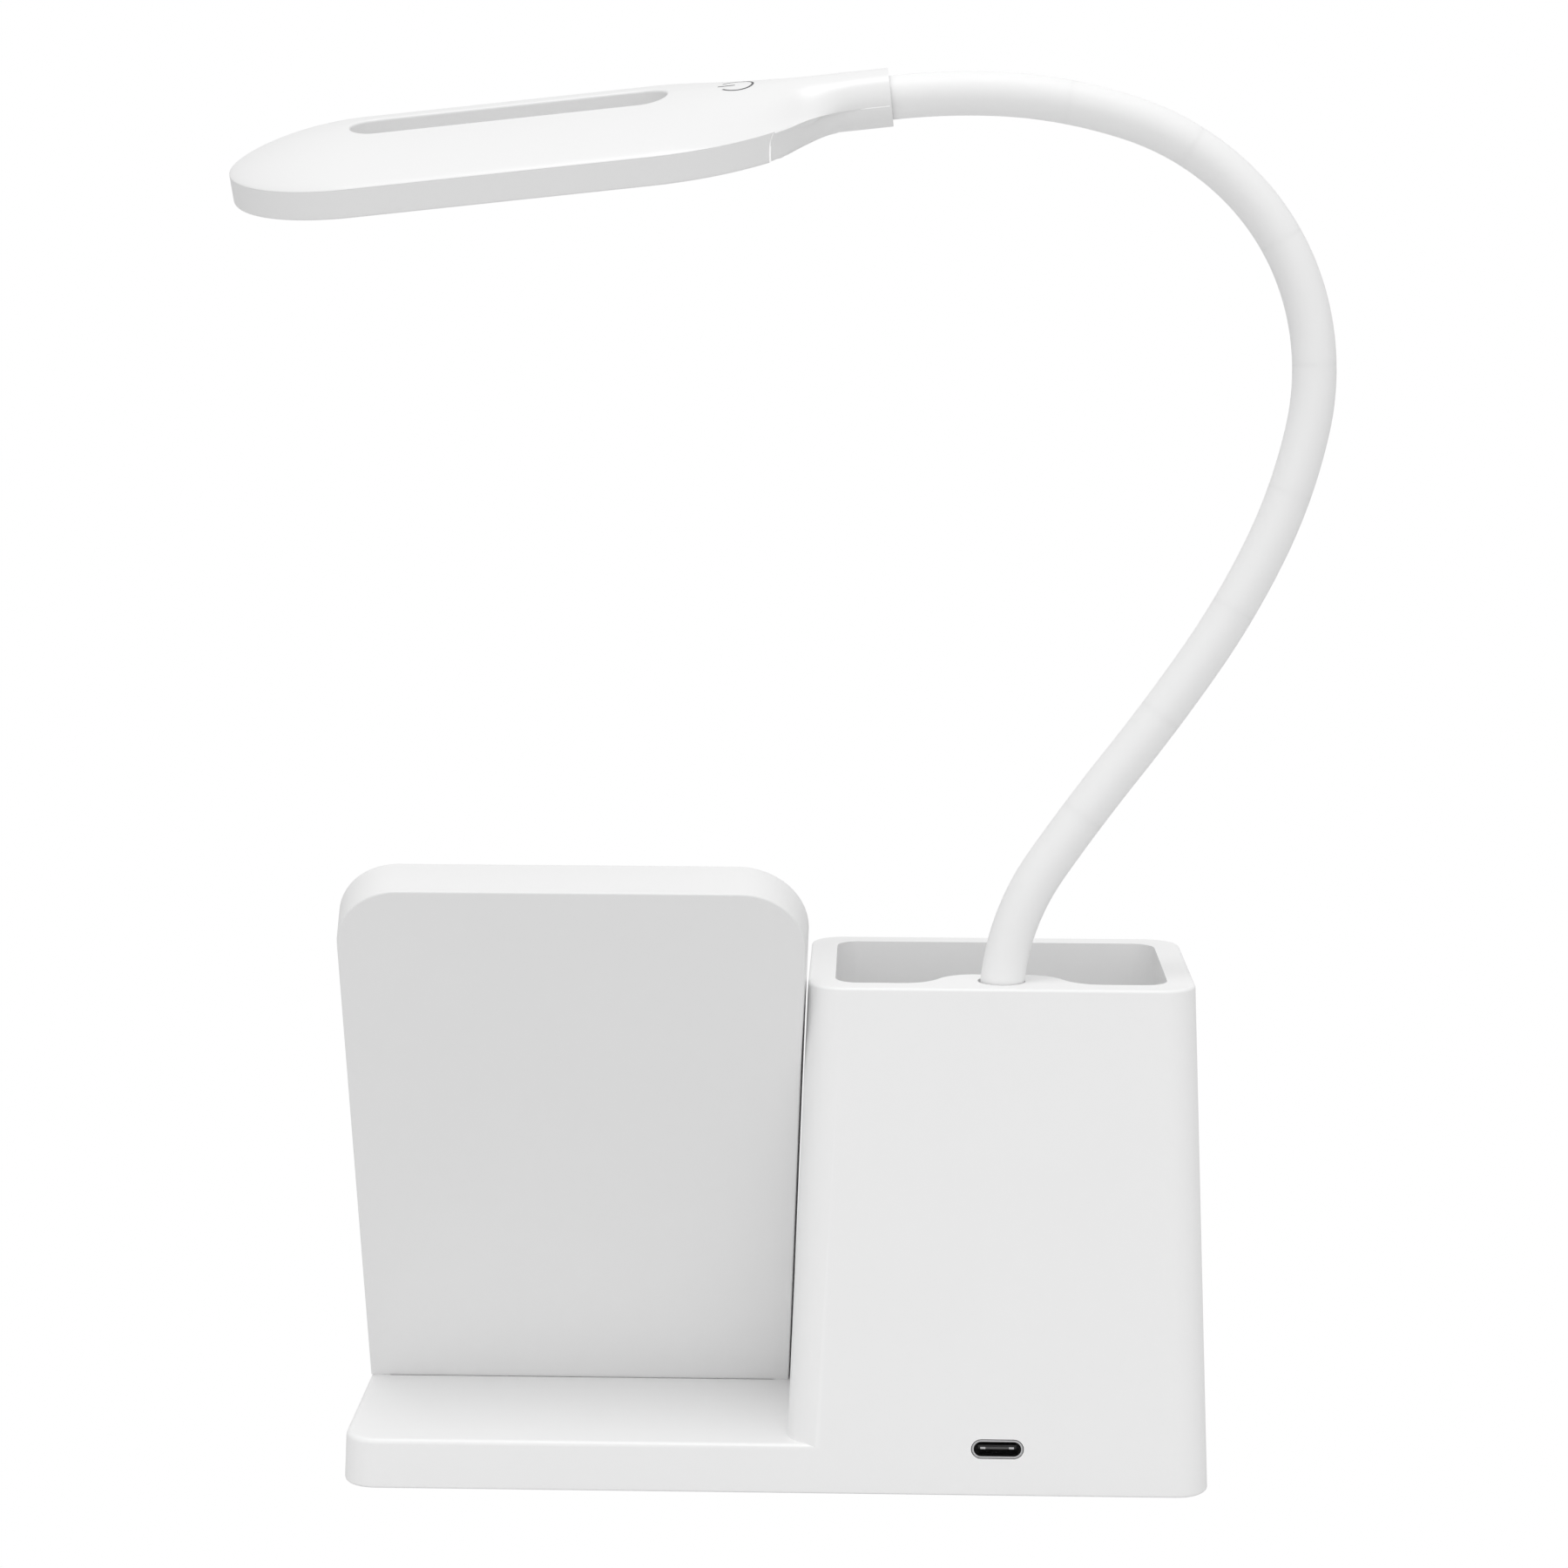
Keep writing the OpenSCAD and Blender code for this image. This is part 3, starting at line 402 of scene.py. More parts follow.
# %% [markdown]
# ## The holes for the neck, the wires and the port
# The neck stands in a round hole in the boss, and a narrow bore below it lets the wires through.
# The charging port looks out of a rounded slot in the near wall. All three are cut with shapes
# that reach past the wall, because a cutter that ends flush with a wall leaves a thin skin.

# %% Cut the three holes
PORT_W, PORT_H, PORT_Z, PORT_ROOM = 8.94, 3.26, 9.25, 0.16
NECK_HOLE_FLOOR, WIRE_BORE_R = BOX_H - 26, 2.0

combine(housing, rod("neck_hole", NECK_X, NECK_Y, NECK_HOLE_FLOOR, BOX_H + 2, NECK_HOLE_R, 48), "DIFFERENCE")
combine(housing, rod("wire_hole", NECK_X, NECK_Y, CUP_FLOOR - WALL - 1, NECK_HOLE_FLOOR + 1, WIRE_BORE_R, 24),
        "DIFFERENCE")
port_half = (PORT_W - PORT_H) / 2
port_shape = stadium(-port_half, port_half, PORT_H / 2 + PORT_ROOM)
port_rings = [[(BOX_MID + x, y, PORT_Z + z) for x, z in port_shape] for y in (NEAR_Y - 1, NEAR_Y + 6)]
port_cut = loft("port_cut", port_rings)
combine(housing, port_cut, "DIFFERENCE")
tell(housing)

# %% [markdown]
# ## The board's slot, and the finished housing
# The phone board leans towards the near side, and its foot plugs into a slot in the shelf. The
# board has its own axes: X along its width, Z up its face, and Y through it. One matrix takes
# them to the lamp, for the slot here and for the board in the next step.

# %% Cut the slot and round the edges
BOARD_LEAN, BOARD_T, BOARD_FOOT = 23.0, 9.0, 36.7
BOARD_W = BASE_W - BOX_W - 0.5
BOARD_X, BOARD_Y = LEFT_X + SLOPE * PLATE_H + 0.3, NEAR_Y + BOARD_FOOT
SLOT_SIDE, SLOT_ROOM, HOUSING_EDGE = 3.3, 0.2, 0.35

board_place = (Matrix.Translation(Vector((BOARD_X, BOARD_Y, PLATE_H)) * MM)
               @ Matrix.Rotation(math.radians(BOARD_LEAN), 4, "X"))
board_slot = box("board_slot", (SLOT_SIDE, -SLOT_ROOM, -PLATE_H + FOOT_GAP),
                 (BOARD_W - SLOT_SIDE, BOARD_T + SLOT_ROOM, 1.5))
board_slot.data.transform(board_place)
combine(housing, board_slot, "DIFFERENCE")
soften(housing, HOUSING_EDGE, 3)
tell(housing)

# %% [markdown]
# ## The edge of the port's tongue
# Inside the port, the near edge of its tongue catches the light: its two ends are bare metal, and
# its middle is dark. Paint on the tongue could show that, but three thin blades give crisp
# borders, so three cubes are placed a hair apart and joined. The middle one gets its own colour.

# %% The blade
BLADE_HALF, BLADE_END, BLADE_SLIT, BLADE_T, BLADE_LOW, BLADE_DEEP = 2.95, 0.9, 0.01, 0.18, 0.2, 0.3
BLADE_Y = NEAR_Y + SLOPE * PORT_Z + 1.3
BLADE_BORDER = BLADE_HALF - BLADE_END


def join(name, *pieces):
    """Joins objects into the first of them."""
    select_only(*reversed(pieces))
    bpy.ops.object.join()
    joined = pieces[0]
    joined.name = joined.data.name = name
    return joined


def blade_part(x0, x1):
    return box("blade_part", (BOX_MID + x0, BLADE_Y, PORT_Z - BLADE_LOW - BLADE_T),
               (BOX_MID + x1, BLADE_Y + BLADE_DEEP, PORT_Z - BLADE_LOW + BLADE_T))


port_blade = join("port_blade", blade_part(-BLADE_HALF, -BLADE_BORDER - BLADE_SLIT),
                  blade_part(-BLADE_BORDER + BLADE_SLIT, BLADE_BORDER - BLADE_SLIT),
                  blade_part(BLADE_BORDER + BLADE_SLIT, BLADE_HALF))
bpy.ops.object.shade_flat()
for face in port_blade.data.polygons:
    face.material_index = int(abs(face.center.x / MM - BOX_MID) < BLADE_BORDER)
tell(port_blade)
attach(port_blade, "base")
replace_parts(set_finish(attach(housing, "base"), "white_housing"), "base_housing")

# %% [markdown]
# ## The phone board
# A second moulding, with round top corners and a hollow at its back. It is a little wider at its
# back than at its front, its right edge follows the box's leaning wall, and its foot is cut level
# with the shelf. Because its width changes both upwards and through its thickness, it is lofted
# through its thickness, from outlines that each give their own left and right edge.

# %% The board's outline
BOARD_L, BOARD_R, BOARD_EDGE, BOARD_LOW = 107.5, 11.0, 0.3, -12
BOARD_FLARE = SLOPE * math.cos(math.radians(BOARD_LEAN))
BOARD_DRAFT, BACK_R_EXTRA = 0.4, 1.3


def board_ring(inset, low, y):
    """The board's outline at a depth y, drawn in by an inset and closed across at a height low."""
    back, r = y / BOARD_T, BOARD_R - inset
    wide_r, z1 = r + BACK_R_EXTRA * back, BOARD_L - BOARD_R

    def left(z):
        return -0.28 + (0.7 - 0.8 * back) * z / BOARD_L + inset

    def right(z):
        return BOARD_W + BOARD_FLARE * z - BOARD_DRAFT * (1 - back) - inset

    corners = (arc(right(z1) - wide_r, z1 - BACK_R_EXTRA * back, wide_r, 0, 90, 14)
               + arc(left(z1) + r, z1, r, 90, 180, 14))
    return [(x, y, z) for x, z in [(left(low), low), (right(low), low)] + corners]


# %% The board: slab, hollow back, level foot and tongue
TONGUE_SIDE, TONGUE_H = 3.5, 4.6

rings = []
for a in (0, 30, 60, 90):
    s, c = math.sin(math.radians(a)), math.cos(math.radians(a))
    rings.append(board_ring(BOARD_EDGE * (1 - s), BOARD_LOW, BOARD_EDGE * (1 - c)))
for a in (90, 60, 30, 0):
    s, c = math.sin(math.radians(a)), math.cos(math.radians(a))
    rings.append(board_ring(BOARD_EDGE * (1 - s), BOARD_LOW, BOARD_T - BOARD_EDGE * (1 - c)))
board = loft("board", rings)
combine(board, loft("hollow", [board_ring(WALL, WALL, y) for y in (WALL, BOARD_T + 1)]), "DIFFERENCE")
board.data.transform(board_place)
combine(board, box("below", (LEFT_X - 20, -80, -30), (BASE_W, 80, PLATE_H)), "DIFFERENCE")
tongue = box("tongue", (TONGUE_SIDE, 0, -TONGUE_H), (BOARD_W - TONGUE_SIDE, BOARD_T, WALL))
tongue.data.transform(board_place)
combine(board, tongue, "UNION")
soften(board, 0.2, 2, 40)
tell(board)
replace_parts(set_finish(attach(board, "base"), "board_white"), "phone_board")

# %% [markdown]
# ## The neck's line
# The neck is a steel hose in a silicone sleeve, and it bends all along its length. In the frame it
# is a chain of ten links. At rest each link is an arc, and the arcs meet smoothly, so the whole
# line follows from ten lengths and ten bends. A free curve through points would look alike, but it
# would leave the links' own line between its points.

# %% Ten arcs in the plane of X and Z
NECK_SINK = 4.0
LINK_LEN = [26] + [22] * 8 + [19]
LINK_BEND = [-34, -3.3, 3.6, 8.7, 13.7, 27.5, 29, 27.1, 14.5, 9.35]


def along_arc(start, turn, bend, r):
    """Where an arc of a link ends."""
    a, b = math.radians(turn), math.radians(turn + bend)
    return start + r * Vector((math.sin(b) - math.sin(a), 0, math.cos(a) - math.cos(b)))


LINKS = []
NECK_END, NECK_TURN = Vector((NECK_X, NECK_Y, BOX_H - NECK_SINK)), 90.0
for length, bend in zip(LINK_LEN, LINK_BEND):
    r = length / math.radians(bend)
    LINKS.append((NECK_END.copy(), NECK_TURN, bend, r))
    NECK_END = along_arc(NECK_END, NECK_TURN, bend, r)
    NECK_TURN += bend
print(f"neck: {sum(LINK_LEN)} mm long, its end {NECK_END.z:.1f} mm above the table")


def neck_point(link, share):
    """The point on the neck's line, and the direction there, at a share of a link's length."""
    start, turn, bend, r = LINKS[link]
    angle = math.radians(turn + bend * share)
    return along_arc(start, turn, bend * share, r), Vector((math.cos(angle), 0, math.sin(angle)))


# %% [markdown]
# ## The neck's sleeve
# The silicone is one tube on the real lamp. Here it is nine pieces that each run across one joint
# and meet in the middle of a link. Their ends stay crisp edges, and so the shading runs on from one
# piece to the next. The tube gets slightly thinner towards the head and bows out a little, as the
# photograph shows.

# %% Where the rings of a piece lie
NECK_R, NECK_TAPER, NECK_BOW, CORE_R, CORE_ROOM = 3.84, 0.17, 0.19, 3.05, 0.05
JOINTS, RINGS, END_RINGS = 9, 12, 10


def stations(k):
    """The points and directions along sleeve piece k, from mid-link to mid-link."""
    here = [neck_point(k - 1, 0.5 + 0.5 * s / RINGS) for s in range(RINGS + 1)]
    here += [neck_point(k, 0.5 * s / RINGS) for s in range(1, RINGS + 1)]
    if k == 1:
        foot = [(Vector((NECK_X, NECK_Y, BOX_H - 10 + s)), Vector((0, 0, 1))) for s in (0, 3)]
        here = foot + [neck_point(0, 0.5 * s / RINGS) for s in range(1, RINGS + 1)] + here[1:]
    if k == JOINTS:
        here += [neck_point(JOINTS, 0.5 + 0.5 * s / END_RINGS) for s in range(1, END_RINGS + 1)]
        along = here[-1][1]
        here += [(NECK_END + along * s, along) for s in (2, 5, 8)]
    return here


print("rings per piece:", [len(stations(k)) for k in range(1, JOINTS + 1)])


# %% Draw one piece
def smooth(t):
    """Runs from 0 to 1 with a soft start and a soft end."""
    t = min(max(t, 0), 1)
    return t * t * (3 - 2 * t)


def sleeve_ring(at, along, r, n=40):
    side = Vector((0, 1, 0))
    up = along.cross(side)
    turns = [2 * math.pi * k / n for k in range(n)]
    return [tuple(at + r * (math.cos(t) * side + math.sin(t) * up)) for t in turns]


def mark_sharp(obj, angle):
    """Marks the edges that turn by more than an angle as crisp."""
    open_mesh(obj)
    bpy.ops.mesh.select_all(action="DESELECT")
    bpy.ops.mesh.edges_select_sharp(sharpness=math.radians(angle))
    bpy.ops.mesh.mark_sharp()
    close_mesh()


def draw_sleeve(k):
    """The outer wall from end to end, and the bore back again, as one closed loop of rings."""
    line = stations(k)
    outer = []
    for s, (at, along) in enumerate(line):
        share = (k - 1 + s / len(line)) / JOINTS
        bow = NECK_BOW * smooth(share / 0.4) * smooth((1 - share) / 0.1)
        outward = Vector((along.z, 0, -along.x))
        outer.append(sleeve_ring(at + bow * outward, along, NECK_R - NECK_TAPER * share))
    bore = [sleeve_ring(at, along, CORE_R + CORE_ROOM) for at, along in reversed(line)]
    sleeve = loft(f"sleeve_{k}", outer + bore, "loop")
    mark_sharp(sleeve, 40)
    return sleeve


# %% Nine pieces, one across each joint
def make_sleeve(k):
    sleeve = draw_sleeve(k)
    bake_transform(sleeve)
    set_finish(sleeve, "silicone_white")
    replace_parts(sleeve, *([f"neck_sleeve_{k - 1}"] if k == 1 else []), f"neck_sleeve_{k}")
    tell(sleeve)
    return sleeve


sleeves = [make_sleeve(k) for k in range(1, JOINTS + 1)]

# %% [markdown]
# ## The head's outline
# The head has its own axes: the origin on the neck's line at the collar's mouth, X towards the tip
# and Z out of the dome. Seen from above it is a narrow collar that flares into a shoulder, two
# straight sides, and a half circle at the tip. The arcs touch each other, so only their radii and
# one place are given, and the places where they meet are worked out.

# %% Half the width of the head at any place
HEAD_L, HEAD_W = 112.7, 44.9
COLLAR_R, SHOULDER_L, SHOULDER_R, FLARE_R = 5.0, 40.8, 31.5, 16.0
HEAD_R, TIP_C = HEAD_W / 2, HEAD_L - HEAD_W / 2
SHOULDER_CY, FLARE_CY = HEAD_R - SHOULDER_R, COLLAR_R + FLARE_R
FLARE_CX = SHOULDER_L - math.sqrt((SHOULDER_R + FLARE_R) ** 2 - (FLARE_CY - SHOULDER_CY) ** 2)
TOUCH_X = SHOULDER_L + (FLARE_CX - SHOULDER_L) * SHOULDER_R / (SHOULDER_R + FLARE_R)


def half_width(x):
    if x <= FLARE_CX:
        return COLLAR_R
    if x <= TOUCH_X:
        return FLARE_CY - math.sqrt(FLARE_R ** 2 - (x - FLARE_CX) ** 2)
    if x <= SHOULDER_L:
        return SHOULDER_CY + math.sqrt(SHOULDER_R ** 2 - (x - SHOULDER_L) ** 2)
    if x <= TIP_C:
        return HEAD_R
    return math.sqrt(max(HEAD_R ** 2 - (x - TIP_C) ** 2, 0))


print(f"the flare starts {FLARE_CX:.1f} mm from the collar's mouth and ends at {TOUCH_X:.1f} mm")

# %% [markdown]
# ## The head's top
# The top is a thin shell: a half round at the collar, then a ridge that sinks into a wide and low
# dome with a long slot in it. Sculpting or a subdivided cage could give such a form, but hardly
# this one to a tenth of a millimetre. Its height is therefore written as a blend of two sections,
# and the skin is drawn in columns that run from the slot's edge to the rim.

# %% The height of the dome
BAND_Z, BAND_H, CREST = -0.17, 4.85, 5.15
FLOOR_Z = BAND_Z - BAND_H
DOME_REACH, DOME_POWER = 2.8, 0.755


def dome_z(x, y):
    """The height of the head's top."""
    rho = math.hypot(x - TIP_C, y) if x > TIP_C else abs(y) / half_width(x) * HEAD_R
    rho = min(rho, HEAD_R)
    u = rho / HEAD_R
    share = (HEAD_R - rho) / (HEAD_R + DOME_REACH)
    on_head = CREST * math.sin(math.radians(90 * share ** DOME_POWER))
    on_collar = (COLLAR_R - BAND_Z) * (1 - u * u) ** (0.5 + 1.375 * smooth((x - 7) / 11))
    k = smooth((x - 14) / 26)
    return BAND_Z + (1 - k) * on_collar + k * on_head


print("height along the ridge:", [round(dome_z(x, 0), 1) for x in range(0, 41, 10)])

# %% Columns from the slot to the rim
SLOT_W, SLOT_L, SLOT_TIP = 9.8, 54.0, 21.3
SLOT_R = SLOT_W / 2
SLOT_C1, SLOT_C0 = HEAD_L - SLOT_TIP - SLOT_R, HEAD_L - SLOT_TIP - SLOT_L + SLOT_R
TIP_STEPS, SIDE_STEPS, SHOULDER_STEPS, COLLAR_STEPS = 24, 16, 40, 10


def shell_columns():
    """Pairs of points, on the slot's edge and on the outer edge, all round the head."""
    half = []
    for x, y in arc(SLOT_C1, 0, SLOT_R, 0, 90, TIP_STEPS)[:-1]:
        a = math.atan2(y, x - SLOT_C1)
        half.append(((x, y), (TIP_C + HEAD_R * math.cos(a), HEAD_R * math.sin(a))))
    for k in range(SIDE_STEPS + 1):
        inner_x = SLOT_C1 + (SLOT_C0 - SLOT_C1) * k / SIDE_STEPS
        half.append(((inner_x, SLOT_R), (TIP_C + (SLOT_C0 - TIP_C) * k / SIDE_STEPS, HEAD_R)))
    edge_x = [SLOT_C0 * (1 - k / SHOULDER_STEPS) for k in range(1, SHOULDER_STEPS + 1)]
    outer = [(x, half_width(x)) for x in edge_x]
    mouth_turn = [math.radians(90 * k / COLLAR_STEPS) for k in range(1, COLLAR_STEPS + 1)]
    outer += [(0, COLLAR_R * math.cos(a)) for a in mouth_turn]
    for k, p in enumerate(outer, 1):
        a = math.radians(90 + 90 * (k / len(outer)) ** 0.9)
        half.append(((SLOT_C0 + SLOT_R * math.cos(a), SLOT_R * math.sin(a)), p))
    return half + [((a[0], -a[1]), (b[0], -b[1])) for a, b in reversed(half[1:-1])]


def shell_column(slot_at, rim_at, fillet=0.45, rows=40):
    """One column: up the slot's wall, round its small edge, and over the dome to the rim."""
    (sx, sy), (ox, oy) = slot_at, rim_at
    nx, ny = (sx - min(max(sx, SLOT_C0), SLOT_C1)) / SLOT_R, sy / SLOT_R
    x0, y0 = sx + nx * fillet, sy + ny * fillet
    top = dome_z(x0, y0)
    column = [(sx, sy, FLOOR_Z), (sx, sy, FLOOR_Z + 2)]
    for a in (0, 18, 36, 54, 72):
        s, c = math.sin(math.radians(a)), math.cos(math.radians(a))
        column.append((sx + nx * fillet * (1 - c), sy + ny * fillet * (1 - c), top - fillet + fillet * s))
    for k in range(rows + 1):
        t = math.sin(math.pi / 2 * k / rows)
        x, y = x0 + (ox - x0) * t, y0 + (oy - y0) * t
        column.append((x, y, dome_z(x, y)))
    return column


print(len(shell_columns()), "columns")

# %% Draw the skin and give it a wall
HEAD_ROLL, HEAD_WALL, SHELL_EDGE = 15.7, 0.9, 0.18
head_place = (Matrix.Translation(NECK_END * MM) @ Matrix.Rotation(math.radians(-NECK_TURN), 4, "Y")
              @ Matrix.Rotation(math.radians(180 - HEAD_ROLL), 4, "X"))


def face_towards(obj, direction):
    """Turns an open skin over if most of it looks away from a direction."""
    if sum((f.normal * f.area for f in obj.data.polygons), Vector()).dot(Vector(direction)) < 0:
        open_mesh(obj)
        bpy.ops.mesh.flip_normals()
        close_mesh()


def finish_shell(shell):
    add_bevel(shell, SHELL_EDGE, 2, 50)
    flatten_normals(shell)
    shell.data.transform(head_place)
    tell(shell)


head_top = loft("head_top", zip(*[shell_column(*ends) for ends in shell_columns()]), "skin")
face_towards(head_top, (0, 0, 1))
wall = head_top.modifiers.new("wall", "SOLIDIFY")
wall.thickness, wall.offset, wall.use_even_offset = HEAD_WALL * MM, -1, True
apply_modifiers(head_top)
finish_shell(head_top)
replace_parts(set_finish(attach(head_top, "head"), "head_white"), "head_shell")

# %% [markdown]
# ## The band around the head
# Below the dome an upright band runs round the head and turns in under it, where it holds the
# diffuser. It ends at a seam in front of the neck cover, and the seam bows. Bevel and Solidify can
# both make such a lip, but the bowed seam needs its own place at each height. The band's section
# is drawn as a closed loop of outlines.

# %% The seam and the band's outline
SEAM_X, BAND_EDGE = 20.7, 0.4


def seam_at(z):
    """The seam between the neck cover and the band bows towards the tip as it goes down."""
    return SEAM_X - 0.95 + 1.25 * (1 - math.exp((z - BAND_Z) / 1.6))


def band_outline(inset, z):
    """The band's outline at a height, drawn in by inset and closed across at the seam."""
    x1 = seam_at(z) + inset
    r = SHOULDER_R - inset
    side = arc(SHOULDER_L, SHOULDER_CY, r, math.degrees(math.acos((x1 - SHOULDER_L) / r)), 90, 16)
    tip = arc(TIP_C, 0, HEAD_R - inset, 90, -90, 56)
    y1 = side[0][1]
    across = [(x1, -y1 + 2 * y1 * k / 8) for k in range(1, 8)]
    return side + tip + [(x, -y) for x, y in reversed(side)] + across


print(f"seam from {seam_at(BAND_Z):.2f} mm at its top to {seam_at(FLOOR_Z):.2f} mm at its foot")

# %% Draw the band
LEDGE_IN, LEDGE_T, BAND_WALL = 3.0, 1, 1.6

steps = [(0.1, BAND_Z), (0.0, BAND_Z - 0.1)] + [(0, BAND_Z - down) for down in (0.5, 1, 1.6, 2.3, 3.1)]
for a in (0, 22.5, 45, 67.5, 90):
    s, c = math.sin(math.radians(a)), math.cos(math.radians(a))
    steps.append((BAND_EDGE * (1 - c), FLOOR_Z + BAND_EDGE * (1 - s)))
steps += [(LEDGE_IN - 0.1, FLOOR_Z), (LEDGE_IN, FLOOR_Z + 0.1), (LEDGE_IN, FLOOR_Z + LEDGE_T),
          (BAND_WALL, FLOOR_Z + LEDGE_T), (BAND_WALL, BAND_Z)]
head_band = loft("head_band", [[(x, y, z) for x, y in band_outline(i, z)] for i, z in steps], "loop")
mark_sharp(head_band, 35)
flatten_normals(head_band)
head_band.data.transform(head_place)
tell(head_band)
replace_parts(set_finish(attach(head_band, "head"), "head_white"), "head_bezel")

# %% [markdown]
# ## The neck cover
# The cover is the collar's lower half. Under the shoulder it spreads into a cone that ends in the
# head's flat floor. A boolean of a tube and a cone would leave a crease where they meet. Here each
# section takes the smaller or the larger of two outlines, with the corner between them rounded.

# %% Sections of the cover
COVER_LOW, FLAT_UNTIL, CONE_FROM, COVER_SIDES, COVER_RINGS = 0.955, 9.5, 9, 80, 40


def softest(values, power):
    """A minimum (power > 0) or maximum (power < 0) whose corner is round."""
    return sum(v ** -power for v in values) ** (-1 / power)


def cover_radius(x, side, down):
    """How far the cover reaches from the collar's axis, between its side and its floor."""
    rod_r = COLLAR_R - 0.6 * smooth((x - 13) / 6)
    cone = COLLAR_R + 0.105 * max(x - CONE_FROM, 0) ** 2
    wide = softest([softest([side, down], 40), cone], 24) if x > CONE_FROM else COLLAR_R
    return max(wide, rod_r) if x < FLAT_UNTIL else softest([wide, rod_r], -24)


def cover_ring(x):
    """One section: the outer line from rim to rim, and the inner line back."""
    w = half_width(x)
    start = math.asin(-BAND_Z / w)
    low = COVER_LOW + (1 - COVER_LOW) * smooth((x - FLAT_UNTIL) / 8)
    outer, inner = [], []
    for s in range(COVER_SIDES + 1):
        a = start + (math.pi - 2 * start) * s / COVER_SIDES
        side, down = w / max(abs(math.cos(a)), 1e-3), -FLOOR_Z / max(math.sin(a), 1e-3)
        r = side if s in (0, COVER_SIDES) else cover_radius(x, side, down)
        y, z = r * math.cos(a), -r * math.sin(a) * low
        bow = (seam_at(z) - SEAM_X) * smooth((x - 10) / (SEAM_X - 10))
        share = (r - HEAD_WALL) / r
        outer.append((x + bow, y, z))
        inner.append((x + bow, y * share, BAND_Z + (z - BAND_Z) * share))
    return outer + inner[::-1]


# %% Draw the cover
neck_shell = loft("neck_cover_shell", [cover_ring(SEAM_X * k / COVER_RINGS) for k in range(COVER_RINGS + 1)])
finish_shell(neck_shell)
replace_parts(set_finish(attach(neck_shell, "head"), "head_white"), "neck_cover")

# %% [markdown]
# ## The printed mark and the painted seam highlights
# A small power symbol is printed on the ridge, over the touch sensor. Along the seams, where two
# moulded edges meet, a thin bright line is painted on as a highlight that glows faintly. An image
# would do for both, but it would blur close up and need its own map. They are ribbons instead:
# grids one cell wide, laid a hair above the surface.

# %% A ribbon
LIFT = 0.012


def ribbon(one_edge, other_edge, outward):
    """A strip between two lines of points, whose faces look outward."""
    cells = len(one_edge) - 1
    bpy.ops.mesh.primitive_grid_add(x_subdivisions=cells, y_subdivisions=1, size=MM, calc_uvs=False)
    strip = name_new("ribbon")
    for vert, at in zip(strip.data.vertices, one_edge + other_edge):
        vert.co = Vector(at) * MM
    strip.data.update()
    face_towards(strip, outward)
    return strip


# %% The power mark
MARK_X, MARK_R, MARK_HALF, MARK_OPEN, BAR_FROM, BAR_L = 25.7, 2.85, 0.21, 38, 0.2, 2.9


def on_dome(points):
    return [(x, y, dome_z(x, y) + LIFT) for x, y in points]


bar_x = [MARK_X + BAR_FROM + BAR_L * k / 12 for k in range(13)]
power_mark = join(
    "power_mark",
    ribbon(on_dome(arc(MARK_X, 0, MARK_R - MARK_HALF, MARK_OPEN, 360 - MARK_OPEN, 64)),
           on_dome(arc(MARK_X, 0, MARK_R + MARK_HALF, MARK_OPEN, 360 - MARK_OPEN, 64)), (0, 0, 1)),
    ribbon(on_dome([(x, -MARK_HALF) for x in bar_x]), on_dome([(x, MARK_HALF) for x in bar_x]), (0, 0, 1)))
power_mark.data.transform(head_place)
tell(power_mark)
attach(power_mark, "head")

# %% The painted seam highlights
SEAM_HALF, PARTING_HALF = 0.15, 0.06


def seam_highlight_ribbon(side):
    """A painted highlight strip between the cover and the band, from just under the dome to just above the
    floor.
    """
    heights = [BAND_Z - 0.1 - (BAND_H - 0.2) * k / 12 for k in range(13)]
    edges = [[(seam_at(z) + d, side * (half_width(seam_at(z) + d) + LIFT), z) for z in heights]
             for d in (-SEAM_HALF, SEAM_HALF)]
    return ribbon(*edges, (0, side, 0))


def parting_highlight_ribbon(side):
    """A painted highlight strip between the top and the cover, along the collar."""
    y = side * (math.sqrt(COLLAR_R ** 2 - BAND_Z ** 2) + LIFT)
    edges = [[(0.3 + k, y, BAND_Z + d) for k in range(10)] for d in (-PARTING_HALF, PARTING_HALF)]
    return ribbon(*edges, (0, side, 0))


# Both seams get a thin strip of painted highlight.
painted_seam_highlights = join("painted_seam_highlights", seam_highlight_ribbon(-1), parting_highlight_ribbon(-1), seam_highlight_ribbon(1), parting_highlight_ribbon(1))
painted_seam_highlights.data.transform(head_place)
tell(painted_seam_highlights)
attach(painted_seam_highlights, "head")

# %% [markdown]
# ## How a finish is built
# White moulded plastic isn't one flat white. It has a fine spark-eroded grain, a faint unevenness
# of tone and a soft gloss that changes from place to place. Two noise patterns give all three: a
# wide one shades the colour, and a fine one drives the roughness and a tiny bump. Both read
# Object coordinates, so the pattern moves with its piece, and no image is needed.

# %% One function for all the finishes
MATERIALS = {}
CLOUD_SCALE, GRAIN_STRENGTH, ROUGH_SPREAD, SKIN_DEPTH = 45, 0.35, 0.05, 0.0015


def node(tree, kind, **sockets):
    """Adds a node and sets its sockets; an underscore stands for a space in a socket's name."""
    new = tree.nodes.new(kind)
    for socket, value in sockets.items():
        new.inputs[socket.replace("_", " ")].default_value = value
    return new


